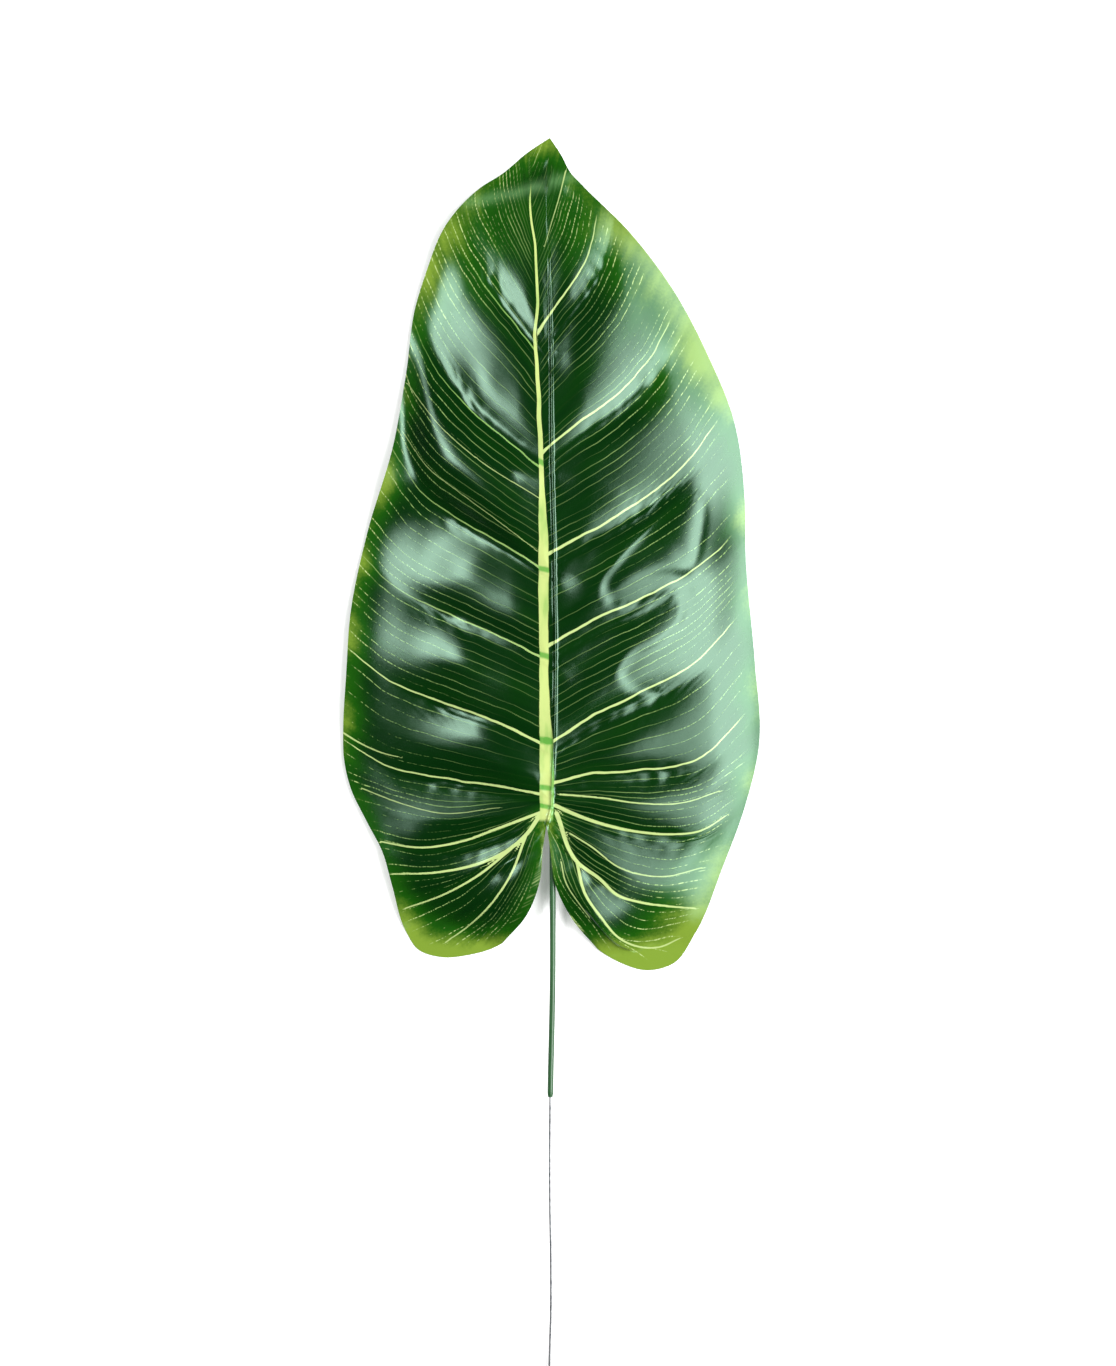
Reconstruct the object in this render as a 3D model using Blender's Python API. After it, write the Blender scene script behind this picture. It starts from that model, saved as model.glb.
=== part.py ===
"""A large artificial tropical leaf, laid face up on a flat surface.

A waved cloth blade with two rounded lobes at its base is pressed onto a moulded plastic rib.
The rib runs up the back of the blade with short side ribs, and its lower end is a round sleeve
over a steel wire, which is bare where it leaves the sleeve.

The script works in millimetres and makes its meshes in metres. X runs across the leaf, Y along
it towards the tip, and Z up. The origin is under the middle of the whole leaf, at the surface.
"""

import math
from typing import NamedTuple

import bmesh
import bpy
import numpy as np
from mathutils import Vector
from mathutils.bvhtree import BVHTree

MM = 0.001
CLEARANCE = 0.3
LEFT, RIGHT = -1, 1

# Sheet
BLADE_THICKNESS = 0.8
ROW_PITCH = 10.5
COLUMNS = 13

# Rib, sleeve and wire
WIRE_RADIUS = 0.5
BORE_RADIUS = WIRE_RADIUS + CLEARANCE
SLEEVE_RADIUS = 1.35
SLEEVE_LENGTH = 122.0
RIB_WIDTH = (2.9, 1.6)
RIB_DEPTH = (2.7, 1.5)
RIB_TOP_Y = 240.0
BORE_TOP_Y = 150.0
SIDE_RIB_WIDTH = (2.0, 1.0)
SIDE_RIB_DEPTH = (1.6, 0.8)
RIB_FLANK = 0.3
RIB_FOOT_Y = -16.0
SLEEVE_LAP = 6.0
WIRE_END_GAP = 2.0
ROUND_SIDES = 10
RIB_SIDES = 5
CORE_STATIONS = 64
SIDE_RIB_STATIONS = 8
MAIN_RIB_STRIDE = 9

# Points to a curve: on an outline, on the midline, along a rib and along the stem
EDGE_POINTS = 600
MIDLINE_POINTS = 400
RIB_POINTS = 200
STEM_POINTS = 40
ABOVE_ALL = 500.0

# Outlines, each from the notch round one lobe and up that side to the tip
LEFT_OUTLINE = [
    (-2.0, -18.5), (-3.5, -24.0), (-4.0, -31.5), (-6.0, -45.5), (-11.5, -60.0), (-16.0, -67.5),
    (-25.0, -74.0), (-36.5, -77.5), (-50.0, -78.5), (-60.0, -75.0), (-65.0, -67.5), (-71.5, -45.5),
    (-75.5, -31.5), (-83.0, -17.0), (-90.0, -2.5), (-93.2, 12.0), (-93.4, 22.5), (-92.0, 48.0),
    (-90.0, 76.5), (-82.5, 112.5), (-71.5, 148.5), (-65.0, 184.5), (-61.0, 213.5), (-56.5, 228.0),
    (-47.0, 250.5), (-32.0, 267.0), (-21.5, 274.0), (-11.0, 283.0), (-0.5, 290.0),
]
RIGHT_OUTLINE = [
    (-2.0, -18.5), (-0.5, -24.0), (0.5, -38.5), (5.0, -53.0), (14.0, -67.5), (20.5, -74.5),
    (31.0, -81.0), (43.5, -84.5), (55.0, -81.5), (65.0, -67.5), (77.0, -38.5), (87.5, -9.5),
    (93.4, 17.0), (91.5, 55.0), (87.5, 102.0), (87.0, 127.0), (82.0, 163.0), (70.5, 192.0),
    (55.5, 220.5), (35.5, 247.0), (14.5, 268.0), (9.0, 274.0), (4.5, 282.5), (-0.5, 290.0),
]
# Line where the two halves meet, from the notch to the tip
MIDLINE = [
    (-2.0, -18.5), (-0.5, -13.5), (0.5, 1.0), (1.5, 23.5), (1.5, 100.0), (0.5, 140.5),
    (0.0, 199.0), (-1.0, 235.0), (-2.0, 255.5), (-2.0, 272.0), (-0.5, 290.0),
]
TIP = MIDLINE[-1]


class Vein(NamedTuple):
    """A side vein's line: where it leaves the midline, three points on its way, and its end."""

    root: float
    near: tuple
    middle: tuple
    far: tuple
    end: tuple
    ribbed: bool


LEFT_VEINS = [
    Vein(-18.5, (-3.5, -28.0), (-5.0, -44.0), (-11.0, -59.5), (-21.5, -72.0), False),
    Vein(-18.0, (-4.5, -31.5), (-9.5, -46.0), (-17.5, -60.0), (-33.0, -77.0), False),
    Vein(-17.0, (-8.0, -27.0), (-16.0, -45.5), (-28.0, -62.0), (-54.5, -77.5), False),
    Vein(-16.5, (-8.0, -26.5), (-23.0, -39.0), (-41.0, -51.5), (-67.0, -63.0), True),
    Vein(-16.0, (-8.0, -26.0), (-24.0, -36.0), (-43.0, -43.0), (-72.0, -44.0), False),
    Vein(-14.0, (-18.0, -23.0), (-36.5, -29.5), (-54.5, -32.5), (-76.5, -28.5), True),
    Vein(-11.5, (-20.0, -14.0), (-43.0, -17.0), (-65.5, -12.5), (-88.5, -5.5), False),
    Vein(-9.0, (-20.0, -5.0), (-47.0, -1.0), (-69.5, 3.5), (-93.5, 18.0), True),
    Vein(13.0, (-21.5, 24.0), (-46.5, 33.0), (-69.0, 42.5), (-92.0, 60.5), True),
    Vein(51.5, (-19.0, 62.0), (-41.5, 72.0), (-63.5, 83.0), (-85.5, 103.5), True),
    Vein(91.0, (-16.0, 102.5), (-34.0, 113.0), (-52.0, 126.0), (-70.0, 154.0), True),
    Vein(137.0, (-14.5, 149.5), (-31.0, 164.0), (-45.5, 182.0), (-61.0, 215.5), True),
    Vein(188.5, (-11.0, 203.0), (-21.5, 217.0), (-32.5, 235.0), (-41.0, 258.5), True),
    Vein(203.5, (-11.0, 220.5), (-20.0, 237.5), (-27.5, 253.0), (-29.0, 269.5), False),
    Vein(217.0, (-7.0, 231.5), (-14.0, 246.5), (-18.0, 262.0), (-18.0, 277.0), False),
    Vein(247.0, (-3.5, 256.5), (-5.0, 266.5), (-6.0, 276.5), (-6.5, 286.0), False),
]
RIGHT_VEINS = [
    Vein(-18.5, (-0.5, -28.5), (2.0, -45.5), (9.5, -61.0), (21.0, -75.0), False),
    Vein(-18.0, (4.5, -34.0), (10.0, -50.0), (22.0, -65.5), (36.5, -83.0), False),
    Vein(-17.0, (9.5, -32.0), (17.5, -53.5), (33.5, -73.5), (62.5, -72.0), False),
    Vein(-16.5, (10.5, -34.0), (26.0, -48.0), (47.0, -58.0), (70.0, -57.0), True),
    Vein(-16.0, (11.5, -27.0), (28.0, -38.5), (49.5, -45.5), (75.5, -42.5), False),
    Vein(-14.0, (18.0, -19.0), (43.0, -25.5), (65.0, -26.0), (85.5, -14.5), True),
    Vein(-9.0, (25.0, -10.5), (46.5, -13.0), (70.0, -9.5), (90.5, 1.5), False),
    Vein(-4.5, (18.0, 0.0), (43.0, 2.5), (68.0, 6.5), (93.0, 31.5), True),
    Vein(13.0, (20.5, 25.5), (43.5, 37.0), (68.5, 50.5), (90.0, 73.0), True),
    Vein(57.5, (22.0, 68.5), (45.5, 79.5), (68.5, 91.5), (87.5, 109.0), True),
    Vein(97.5, (23.5, 109.5), (45.0, 122.5), (66.5, 140.5), (82.5, 161.5), True),
    Vein(142.5, (16.5, 156.0), (33.0, 168.0), (47.5, 183.0), (63.0, 208.5), True),
    Vein(197.0, (9.5, 211.0), (19.5, 225.0), (25.0, 238.0), (29.0, 254.5), True),
    Vein(224.0, (4.5, 237.5), (9.5, 250.0), (12.5, 260.0), (15.0, 267.5), False),
    Vein(247.0, (1.0, 255.5), (4.0, 263.0), (6.5, 270.0), (7.5, 276.0), False),
]
# The ribs' lengths along their veins, shorter in the lobes, whose veins leave the midline lowest
SIDE_RIB_LENGTH = 54.0
LOBE_RIB_LENGTH = 30.0
LOBE_ROOT_Y = -16.0
RIB_SHARE = 0.62

# Heights of the sheet's face above the surface, along the midline
CROWN = [
    (-18.5, 11.5), (20.0, 15.0), (90.0, 18.0), (155.0, 17.0), (190.0, 13.6), (220.0, 9.2),
    (250.0, 6.0), (272.0, 4.0), (290.0, 0.8),
]
# How each half falls to its margin: for heights on the midline, the shares of the way out where
# its fall would begin and end
FALLS = {
    LEFT: [
        (-18.5, 0.0, 1.0), (15.0, 0.1, 0.9), (60.0, 0.0, 0.95), (92.0, 0.0, 0.95),
        (112.0, 0.3, 1.3), (136.0, -0.05, 0.95), (170.0, -0.1, 0.95),
    ],
    RIGHT: [
        (-18.5, 0.15, 1.3), (15.0, 0.25, 1.35), (45.0, 0.3, 1.5), (85.0, 0.22, 1.55),
        (120.0, 0.0, 1.6), (150.0, -0.1, 1.6),
    ],
}
# The margins' wave: amplitude, period and phase along the leaf, and its lowest level
MARGIN_WAVE = {LEFT: (2.2, 100.0, 29.0), RIGHT: (2.6, 128.0, 118.0)}
MARGIN_LOW = 0.4
# Valleys over the ribs, with the sheet swelling up between them
BILLOW_RISE = 2.8
BILLOW_REACH = 8.5
BILLOW_AT_MIDLINE = 0.6
BILLOW_FULL = 22.0
VALLEY_TO_MARGIN = {LEFT: 0.3, RIGHT: 0.12}
RIB_FADE = 14.0
MARGIN_CALM = 0.4
MARGIN_CALM_FROM = 0.7
SLIM_TIP = 125.0
# Swells of their own: centre, reach along each axis, turn in degrees, and rise
SWELLS = [
    ((62.0, 109.0), (14.0, 21.0), -10.0, 1.6),
    ((-40.0, 256.0), (22.0, 13.0), 35.0, 1.2),
    ((-34.0, 180.0), (12.0, 24.0), 30.0, 1.3),
    ((-38.0, 97.0), (14.0, 12.0), 0.0, 1.7),
    ((-41.0, 57.0), (12.0, 9.5), -20.0, 1.6),
    ((-28.0, 24.0), (16.0, 10.0), -15.0, 1.7),
    ((-62.0, 137.0), (18.0, 16.0), 0.0, 3.0),
    ((-60.0, -30.0), (17.0, 13.0), 0.0, 1.6),
]
# A crease across the tip, past which the sheet bends down
TIP_FOLD = ((-34.0, 259.0), (12.0, 270.0))
TIP_FOLD_DROP = 0.16
# Low spots at the ends of the lobes, which lie flat on the surface as the tip does
FEET = [(-47.0, -77.0), (44.0, -83.0)]
FOOT_REACH = 20.0
FOOT_DROP = 9.5
FOOT_BLEND = 1.2

# Stem, from the notch to its cut end
STEM_ROUTE = [
    (0.6, -19.5), (0.7, -91.0), (-0.3, -140.0), (-0.6, -165.0), (-0.1, -240.0), (-0.7, -262.0),
    (-0.5, -290.0),
]


def slopes(knots, values):
    """Three-point slopes of values over knots, for a smooth curve through them."""
    steps = np.diff(knots)
    rates = np.diff(values, axis=0) / steps[:, None]
    weighed = rates[:-1] * steps[1:, None] + rates[1:] * steps[:-1, None]
    inner = weighed / (steps[:-1] + steps[1:])[:, None]
    return np.vstack([rates[:1], inner, rates[-1:]])


def smooth(knots, values, at):
    """Smooth curve through values at knots, read at the given places."""
    knots = np.asarray(knots, float)
    values = np.asarray(values, float).reshape(len(knots), -1)
    at = np.clip(np.asarray(at, float), knots[0], knots[-1])
    i = np.clip(np.searchsorted(knots, at, side="right") - 1, 0, len(knots) - 2)
    step = (knots[i + 1] - knots[i])[:, None]
    f = (at - knots[i])[:, None] / step
    m = slopes(knots, values)
    return (
        (2 * f**3 - 3 * f**2 + 1) * values[i]
        + (f**3 - 2 * f**2 + f) * step * m[i]
        + (3 * f**2 - 2 * f**3) * values[i + 1]
        + (f**3 - f**2) * step * m[i + 1]
    )


def along(points, count):
    """That many points, evenly spaced, on the smooth curve through points."""
    points = np.asarray(points, float)
    chords = np.linalg.norm(np.diff(points, axis=0), axis=1)
    knots = np.concatenate([[0.0], np.cumsum(np.maximum(chords, 1e-6))])
    fine = smooth(knots, points, np.linspace(0, knots[-1], 24 * len(points)))
    length = np.concatenate([[0.0], np.cumsum(np.linalg.norm(np.diff(fine, axis=0), axis=1))])
    wanted = np.linspace(0, length[-1], count)
    return np.column_stack([np.interp(wanted, length, fine[:, k]) for k in range(fine.shape[1])])


def ease(low, high, value):
    """0 below low, 1 above high, smooth between."""
    f = np.clip((value - low) / (high - low), 0, 1)
    return f * f * (3 - 2 * f)


def distance_along(line):
    """Distance from the line's start to each of its points."""
    return np.concatenate([[0.0], np.cumsum(np.linalg.norm(np.diff(line, axis=0), axis=1))])


class Half:
    """One half of the blade, as rows that run from the midline out to the outline."""

    def __init__(self, outline, veins):
        """Places the veins' ends on the outline."""
        self.edge = along(outline, EDGE_POINTS)
        self.mid = along(MIDLINE, EDGE_POINTS)
        self.veins = veins
        self.roots = [v.root for v in veins] + [TIP[1]]
        self.ways = np.array([[*v.near, *v.middle, *v.far] for v in veins] + [[*TIP, *TIP, *TIP]])
        ends = [v.end for v in veins] + [TIP]
        found = [int(np.argmin(np.linalg.norm(self.edge - e, axis=1))) for e in ends]
        self.ends = np.maximum.accumulate(found).astype(float)

    def row(self, root, count):
        """Points of the row that leaves the midline at that height."""
        index = np.interp(root, self.roots, np.arange(len(self.roots)))
        order = np.arange(len(self.roots))
        way = smooth(order, self.ways, [index])[0].reshape(3, 2)
        end = smooth(order, self.ends, [index])[0, 0]
        start = [np.interp(root, self.mid[:, 1], self.mid[:, 0]), root]
        steps = np.arange(len(self.edge))
        stop = [np.interp(end, steps, self.edge[:, 0]), np.interp(end, steps, self.edge[:, 1])]
        if math.dist(start, stop) < MM:
            return np.tile(start, (count, 1))
        return along([start, *way, stop], count)

    def ribbed_veins(self):
        """The lines of this half's backed veins, each with the length of its rib."""
        found = []
        for vein in self.veins:
            if vein.ribbed:
                line = self.row(vein.root, RIB_POINTS)
                reach = LOBE_RIB_LENGTH if vein.root < LOBE_ROOT_Y else SIDE_RIB_LENGTH
                found.append((line, min(reach, RIB_SHARE * distance_along(line)[-1])))
        return found


HALVES = {LEFT: Half(LEFT_OUTLINE, LEFT_VEINS), RIGHT: Half(RIGHT_OUTLINE, RIGHT_VEINS)}
VALLEY_LINES = [vein for half in HALVES.values() for vein in half.ribbed_veins()]


def valley(points):
    """1 on a side vein's line over its rib, fading away from it and out towards the margin."""
    points = np.asarray(points, float)
    depth = np.zeros(len(points))
    for line, reach in VALLEY_LINES:
        lasting = VALLEY_TO_MARGIN[LEFT if line[-1][0] < 0 else RIGHT]
        fade = ease(reach - RIB_FADE, reach + 2 * RIB_FADE, distance_along(line))
        strength = 1 - (1 - lasting) * fade
        gaps = np.linalg.norm(points[:, None, :] - line[None, :, :], axis=2)
        nearest = gaps.argmin(1)
        gap = gaps[np.arange(len(points)), nearest]
        depth = np.maximum(depth, strength[nearest] * np.exp(-((gap / BILLOW_REACH) ** 1.5)))
    return depth


def swelling(points):
    """Height that the sheet's own swells add over plan points."""
    total = np.zeros(len(points))
    for centre, (reach_u, reach_v), turn, rise in SWELLS:
        c, s = math.cos(math.radians(turn)), math.sin(math.radians(turn))
        away = points - np.array(centre)
        u = (away[:, 0] * c + away[:, 1] * s) / reach_u
        v = (away[:, 1] * c - away[:, 0] * s) / reach_v
        total += rise * np.exp(-(u**2) - v**2)
    return total


def fallen(root, share, side):
    """How far the sheet has come down from its crown, 0 at the midline and 1 at the margin."""
    table = np.array(FALLS[side])
    low, high = smooth(table[:, 0], table[:, 1:], root).T
    start = ease(low, high, 0.0)
    return (ease(low, high, share) - start) / (ease(low, high, 1.0) - start)


def face_height(points, root, share, side):
    """Height of the sheet's face. share runs from 0 at the midline to 1 at the outline."""
    points = np.asarray(points, float)
    share = np.asarray(share, float)
    root = np.broadcast_to(root, share.shape)
    crown = smooth([p[0] for p in CROWN], [p[1] for p in CROWN], root)[:, 0]
    fall = fallen(root, share, side)
    amplitude, period, phase = MARGIN_WAVE[side]
    wave = 0.5 + 0.5 * np.sin(2 * math.pi * (points[:, 1] - phase) / period)
    slim = ease(0.0, SLIM_TIP, TIP[1] - root)
    margin = BLADE_THICKNESS + MARGIN_LOW + amplitude * wave * slim
    width = np.linalg.norm(points - np.column_stack([np.zeros_like(root), root]), axis=1)
    full = BILLOW_AT_MIDLINE + (1 - BILLOW_AT_MIDLINE) * ease(0.0, BILLOW_FULL, width)
    swell = BILLOW_RISE * (1 - valley(points)) * full * slim
    swell = swell * (1 - MARGIN_CALM * ease(MARGIN_CALM_FROM, 1.0, share))
    (x0, y0), (x1, y1) = TIP_FOLD
    across = (points[:, 0] - x0) * (y0 - y1) + (points[:, 1] - y0) * (x1 - x0)
    fold = TIP_FOLD_DROP * np.maximum(across / math.hypot(x1 - x0, y1 - y0), 0)
    gaps = np.linalg.norm(points[:, None, :] - np.array(FEET)[None, :, :], axis=2).min(1)
    foot = FOOT_DROP * np.exp(-((gaps / FOOT_REACH) ** 2))
    z = crown * (1 - fall) + margin * fall + swell + swelling(points) - fold - foot
    return BLADE_THICKNESS + softened(z - BLADE_THICKNESS)


def softened(height):
    """height, but levelling off at 0 where it would go below the surface."""
    bend = np.clip(height + FOOT_BLEND, 0.0, 2 * FOOT_BLEND) ** 2 / (4 * FOOT_BLEND)
    return np.where(height > FOOT_BLEND, height, bend)


def row_roots():
    """Heights of the rows' roots: every vein's, with more between where rows lie far apart."""
    roots = sorted({v.root for half in HALVES.values() for v in half.veins})
    roots.append(TIP[1])
    placed = []
    for low, high in zip(roots[:-1], roots[1:]):
        gap = max(np.linalg.norm(h.row(low, 2)[-1] - h.row(high, 2)[-1]) for h in HALVES.values())
        parts = max(1, math.ceil(gap / ROW_PITCH))
        placed += [low + (high - low) * k / parts for k in range(parts)]
    return placed


def new_material(name, colour, roughness, metallic=0.0):
    """A plain finish of one colour."""
    material = bpy.data.materials.new(name)
    material.use_nodes = True
    shader = material.node_tree.nodes["Principled BSDF"]
    shader.inputs["Base Color"].default_value = (*colour, 1.0)
    shader.inputs["Roughness"].default_value = roughness
    shader.inputs["Metallic"].default_value = metallic
    return material


def new_object(name, bm, material):
    """A scene object from a mesh in millimetres."""
    bmesh.ops.scale(bm, vec=(MM, MM, MM), verts=bm.verts)
    mesh = bpy.data.meshes.new(name)
    bm.to_mesh(mesh)
    bm.free()
    mesh.materials.append(material)
    mesh.shade_smooth()
    thing = bpy.data.objects.new(name, mesh)
    bpy.context.scene.collection.objects.link(thing)
    return thing


def sheet_grid():
    """Rows of face points: for each side, an array of rows by columns by (x, y, z)."""
    shares = np.linspace(0, 1, COLUMNS)
    grids = {}
    for side, half in HALVES.items():
        rows = []
        for root in row_roots():
            flat = half.row(root, COLUMNS)
            rows.append(np.column_stack([flat, face_height(flat, root, shares, side)]))
        grids[side] = np.array(rows)
    seam = (grids[LEFT][:, 0, 2] + grids[RIGHT][:, 0, 2]) / 2
    for grid in grids.values():
        grid[:, 0, 2] = seam
    return grids


def face_tree(grids):
    """Search tree of the face's triangles."""
    corners, faces = [], []
    for grid in grids.values():
        count, columns = grid.shape[:2]
        base = len(corners)
        corners += [Vector(p) for p in grid.reshape(-1, 3)]
        for r in range(count - 1):
            for k in range(columns - 1):
                a = base + r * columns + k
                b, c, d = a + 1, a + columns + 1, a + columns
                faces += [(a, b, c), (a, c, d)]
    return BVHTree.FromPolygons(corners, faces)


GRIDS = sheet_grid()
FACE_TREE = face_tree(GRIDS)


def make_blade(material):
    """The cloth blade: two faces split alike, joined by a rim along the outline."""
    bm = bmesh.new()
    drop = (0.0, BLADE_THICKNESS)
    middle = GRIDS[LEFT][:, 0]
    seam = [[bm.verts.new((x, y, z - d)) for x, y, z in middle] for d in drop]
    tip = [bm.verts.new((*TIP, BLADE_THICKNESS - d)) for d in drop]
    for side, grid in GRIDS.items():
        layers = []
        for layer, d in enumerate(drop):
            rows = [[start] for start in seam[layer]]
            for row, places in zip(rows, grid):
                row += [bm.verts.new((x, y, z - d)) for x, y, z in places[1:]]
            layers.append(rows)
            turn = (side > 0) == (layer == 0)
            for low, high in zip(rows[:-1], rows[1:]):
                for k in range(COLUMNS - 1):
                    corners = [low[k], low[k + 1], high[k + 1], high[k]]
                    add_split(bm, corners, turn)
            for k in range(COLUMNS - 1):
                corners = [rows[-1][k], rows[-1][k + 1], tip[layer]]
                bm.faces.new(corners if turn else corners[::-1])
        edges = []
        for layer, rows in enumerate(layers):
            edges.append([*rows[0][:-1], *[row[-1] for row in rows], tip[layer]])
        upper, lower = edges
        for k in range(len(upper) - 1):
            corners = [upper[k], lower[k], lower[k + 1], upper[k + 1]]
            add_split(bm, corners, side > 0)
    bmesh.ops.recalc_face_normals(bm, faces=bm.faces)
    return new_object("leaf_blade", bm, material)


def add_split(bm, corners, turn):
    """Two triangles on four corners, always split along the same diagonal."""
    a, b, c, d = corners
    for face in ((a, b, c), (a, c, d)):
        bm.faces.new(face if turn else face[::-1])


def underside(points):
    """Height of the sheet's back over each of those plan points, on its drawn triangles."""
    lifted = [Vector((float(x), float(y), ABOVE_ALL)) for x, y in points]
    hits = [FACE_TREE.ray_cast(spot, Vector((0, 0, -1)))[0] for spot in lifted]
    return np.array([(hit.z if hit else math.inf) for hit in hits]) - BLADE_THICKNESS


def under_line(line, half_width, stride):
    """Stations along a fine line, each just low enough for a rib that wide to clear the sheet."""
    line = np.asarray(line, float)
    ahead = np.gradient(line, axis=0)
    ahead /= np.linalg.norm(ahead, axis=1)[:, None]
    aside = np.column_stack([ahead[:, 1], -ahead[:, 0]])
    shifts = (-1.0, -0.5, 0.0, 0.5, 1.0)
    ceiling = np.min([underside(line + aside * half_width * s) for s in shifts], axis=0) - CLEARANCE
    stations = sorted({*range(0, len(line) - 1, stride), len(line) - 1})
    height = ceiling[stations].copy()
    lower = np.zeros(len(stations))
    for k in range(len(stations) - 1):
        a, b = stations[k], stations[k + 1]
        span = np.linspace(height[k], height[k + 1], b - a + 1)
        excess = max(0.0, float(np.max(span - ceiling[a : b + 1])))
        lower[k] = max(lower[k], excess)
        lower[k + 1] = max(lower[k + 1], excess)
    return line[stations], height - lower


def sweep(bm, centres, sections):
    """A closed skin through cross-sections, each a loop of (sideways, up) offsets."""
    centres = np.asarray(centres, float)
    ahead = np.gradient(centres, axis=0)
    loops = []
    for centre, direction, section in zip(centres, ahead, sections):
        sideways = np.array([direction[1], -direction[0], 0.0])
        sideways /= np.linalg.norm(sideways)
        forward = direction / np.linalg.norm(direction)
        up = np.cross(sideways, forward)
        loops.append([bm.verts.new(centre + sideways * s + up * u) for s, u in section])
    for low, high in zip(loops[:-1], loops[1:]):
        for k in range(len(low)):
            n = (k + 1) % len(low)
            bm.faces.new((low[k], low[n], high[n], high[k]))
    bm.faces.new(loops[0][::-1])
    bm.faces.new(loops[-1])
    bmesh.ops.recalc_face_normals(bm, faces=bm.faces)


def round_section(radius):
    """A round bar's section."""
    steps = np.arange(ROUND_SIDES) * 2 * math.pi / ROUND_SIDES
    return [(radius * math.cos(a), radius * math.sin(a)) for a in steps]


def rib_section(width, depth):
    """A rib's section: flat against the sheet above, rounded below, with its top at height 0."""
    steps = np.linspace(math.pi, 2 * math.pi, RIB_SIDES)
    round_part = depth * (1 - RIB_FLANK)
    belly = [(width / 2 * math.cos(a), round_part * math.sin(a) - RIB_FLANK * depth) for a in steps]
    return [*belly, (width / 2, 0.0), (-width / 2, 0.0)]


def stem_heights(points, root_height):
    """The stem sinks evenly from the notch until its cut end lies on the surface."""
    start, end = STEM_ROUTE[0][1], STEM_ROUTE[-1][1]
    share = (np.asarray(points)[:, 1] - start) / (end - start)
    return root_height + (WIRE_RADIUS - root_height) * share


def rib_route():
    """Plan points and underside heights along the main rib, from the notch up the blade."""
    mid = along(MIDLINE, MIDLINE_POINTS)
    mid = mid[(mid[:, 1] > RIB_FOOT_Y) & (mid[:, 1] < RIB_TOP_Y)]
    return under_line(mid, RIB_WIDTH[0] / 2, MAIN_RIB_STRIDE)


def core_line():
    """Centre line of the bore, from the cut end of the wire up into the rib."""
    mid, top = rib_route()
    keep = mid[:, 1] < BORE_TOP_Y
    inner = np.column_stack([mid[keep], top[keep] - RIB_DEPTH[0] / 2])
    stem = along(STEM_ROUTE, STEM_POINTS)[::-1]
    stem = np.column_stack([stem, stem_heights(stem, inner[0][2])])
    return along(np.vstack([stem[:-1], inner[1:]]), CORE_STATIONS)


def tapered(sizes, share):
    """A size at shares of the way between two."""
    return sizes[0] + (sizes[1] - sizes[0]) * share


def make_main_rib(material):
    """The rib behind the midline."""
    mid, top = rib_route()
    share = np.linspace(0, 1, len(mid)) ** 2
    sizes = zip(tapered(RIB_WIDTH, share), tapered(RIB_DEPTH, share))
    bm = bmesh.new()
    sweep(bm, np.column_stack([mid, top]), [rib_section(w, d) for w, d in sizes])
    return new_object("main_rib", bm, material)


def make_sleeve(material):
    """The round sleeve below the notch, which laps the main rib's foot."""
    core = core_line()
    low = STEM_ROUTE[0][1] - SLEEVE_LENGTH
    high = rib_route()[0][0][1] + SLEEVE_LAP
    line = core[(core[:, 1] > low) & (core[:, 1] < high)]
    bm = bmesh.new()
    sweep(bm, line, [round_section(SLEEVE_RADIUS)] * len(line))
    return new_object("sleeve", bm, material)


def make_side_rib(vein, reach, material):
    """The rib behind one side vein, as far along it as it reaches."""
    line = vein[: np.searchsorted(distance_along(vein), reach)]
    stride = max(1, len(line) // SIDE_RIB_STATIONS)
    line, height = under_line(line, SIDE_RIB_WIDTH[0] / 2, stride)
    share = np.linspace(0, 1, len(line))
    sizes = zip(tapered(SIDE_RIB_WIDTH, share), tapered(SIDE_RIB_DEPTH, share))
    bm = bmesh.new()
    sweep(bm, np.column_stack([line, height]), [rib_section(w, d) for w, d in sizes])
    return new_object("side_rib", bm, material)


def make_bore(material):
    """The cutter for the hole that the wire runs in."""
    core = core_line()
    bm = bmesh.new()
    sweep(bm, core, [round_section(BORE_RADIUS)] * len(core))
    bore = new_object("bore", bm, material)
    bore.hide_render = True
    bore.display_type = "WIRE"
    return bore


def make_moulding(material):
    """Main rib, side ribs and round sleeve in one plastic moulding, bored for the wire."""
    parts = [make_main_rib(material), make_sleeve(material)]
    parts += [make_side_rib(vein, reach, material) for vein, reach in VALLEY_LINES]
    body = join_solids("stem_moulding", parts)
    cut_away(body, make_bore(material))
    return body


def join_solids(name, parts):
    """One Boolean union of all the parts, applied, with the parts removed."""
    base, rest = parts[0], parts[1:]
    group = bpy.data.collections.new(name + "_parts")
    for part in rest:
        bpy.context.scene.collection.objects.unlink(part)
        group.objects.link(part)
    bpy.context.scene.collection.children.link(group)
    union = base.modifiers.new("union", "BOOLEAN")
    union.operation = "UNION"
    union.operand_type = "COLLECTION"
    union.collection = group
    union.solver = "EXACT"
    apply_modifiers(base)
    for part in rest:
        bpy.data.objects.remove(part)
    bpy.data.collections.remove(group)
    base.name = name
    base.data.name = name
    return base


def cut_away(body, cutter):
    """One Boolean cut, applied, with the cutter removed."""
    cut = body.modifiers.new("bore", "BOOLEAN")
    cut.operation = "DIFFERENCE"
    cut.object = cutter
    cut.solver = "EXACT"
    apply_modifiers(body)
    bpy.data.objects.remove(cutter)


def apply_modifiers(thing):
    """Puts the object's shape with its modifiers in its mesh."""
    bpy.context.view_layer.update()
    evaluated = thing.evaluated_get(bpy.context.evaluated_depsgraph_get())
    mesh = bpy.data.meshes.new_from_object(evaluated)
    thing.modifiers.clear()
    thing.data = mesh


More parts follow.
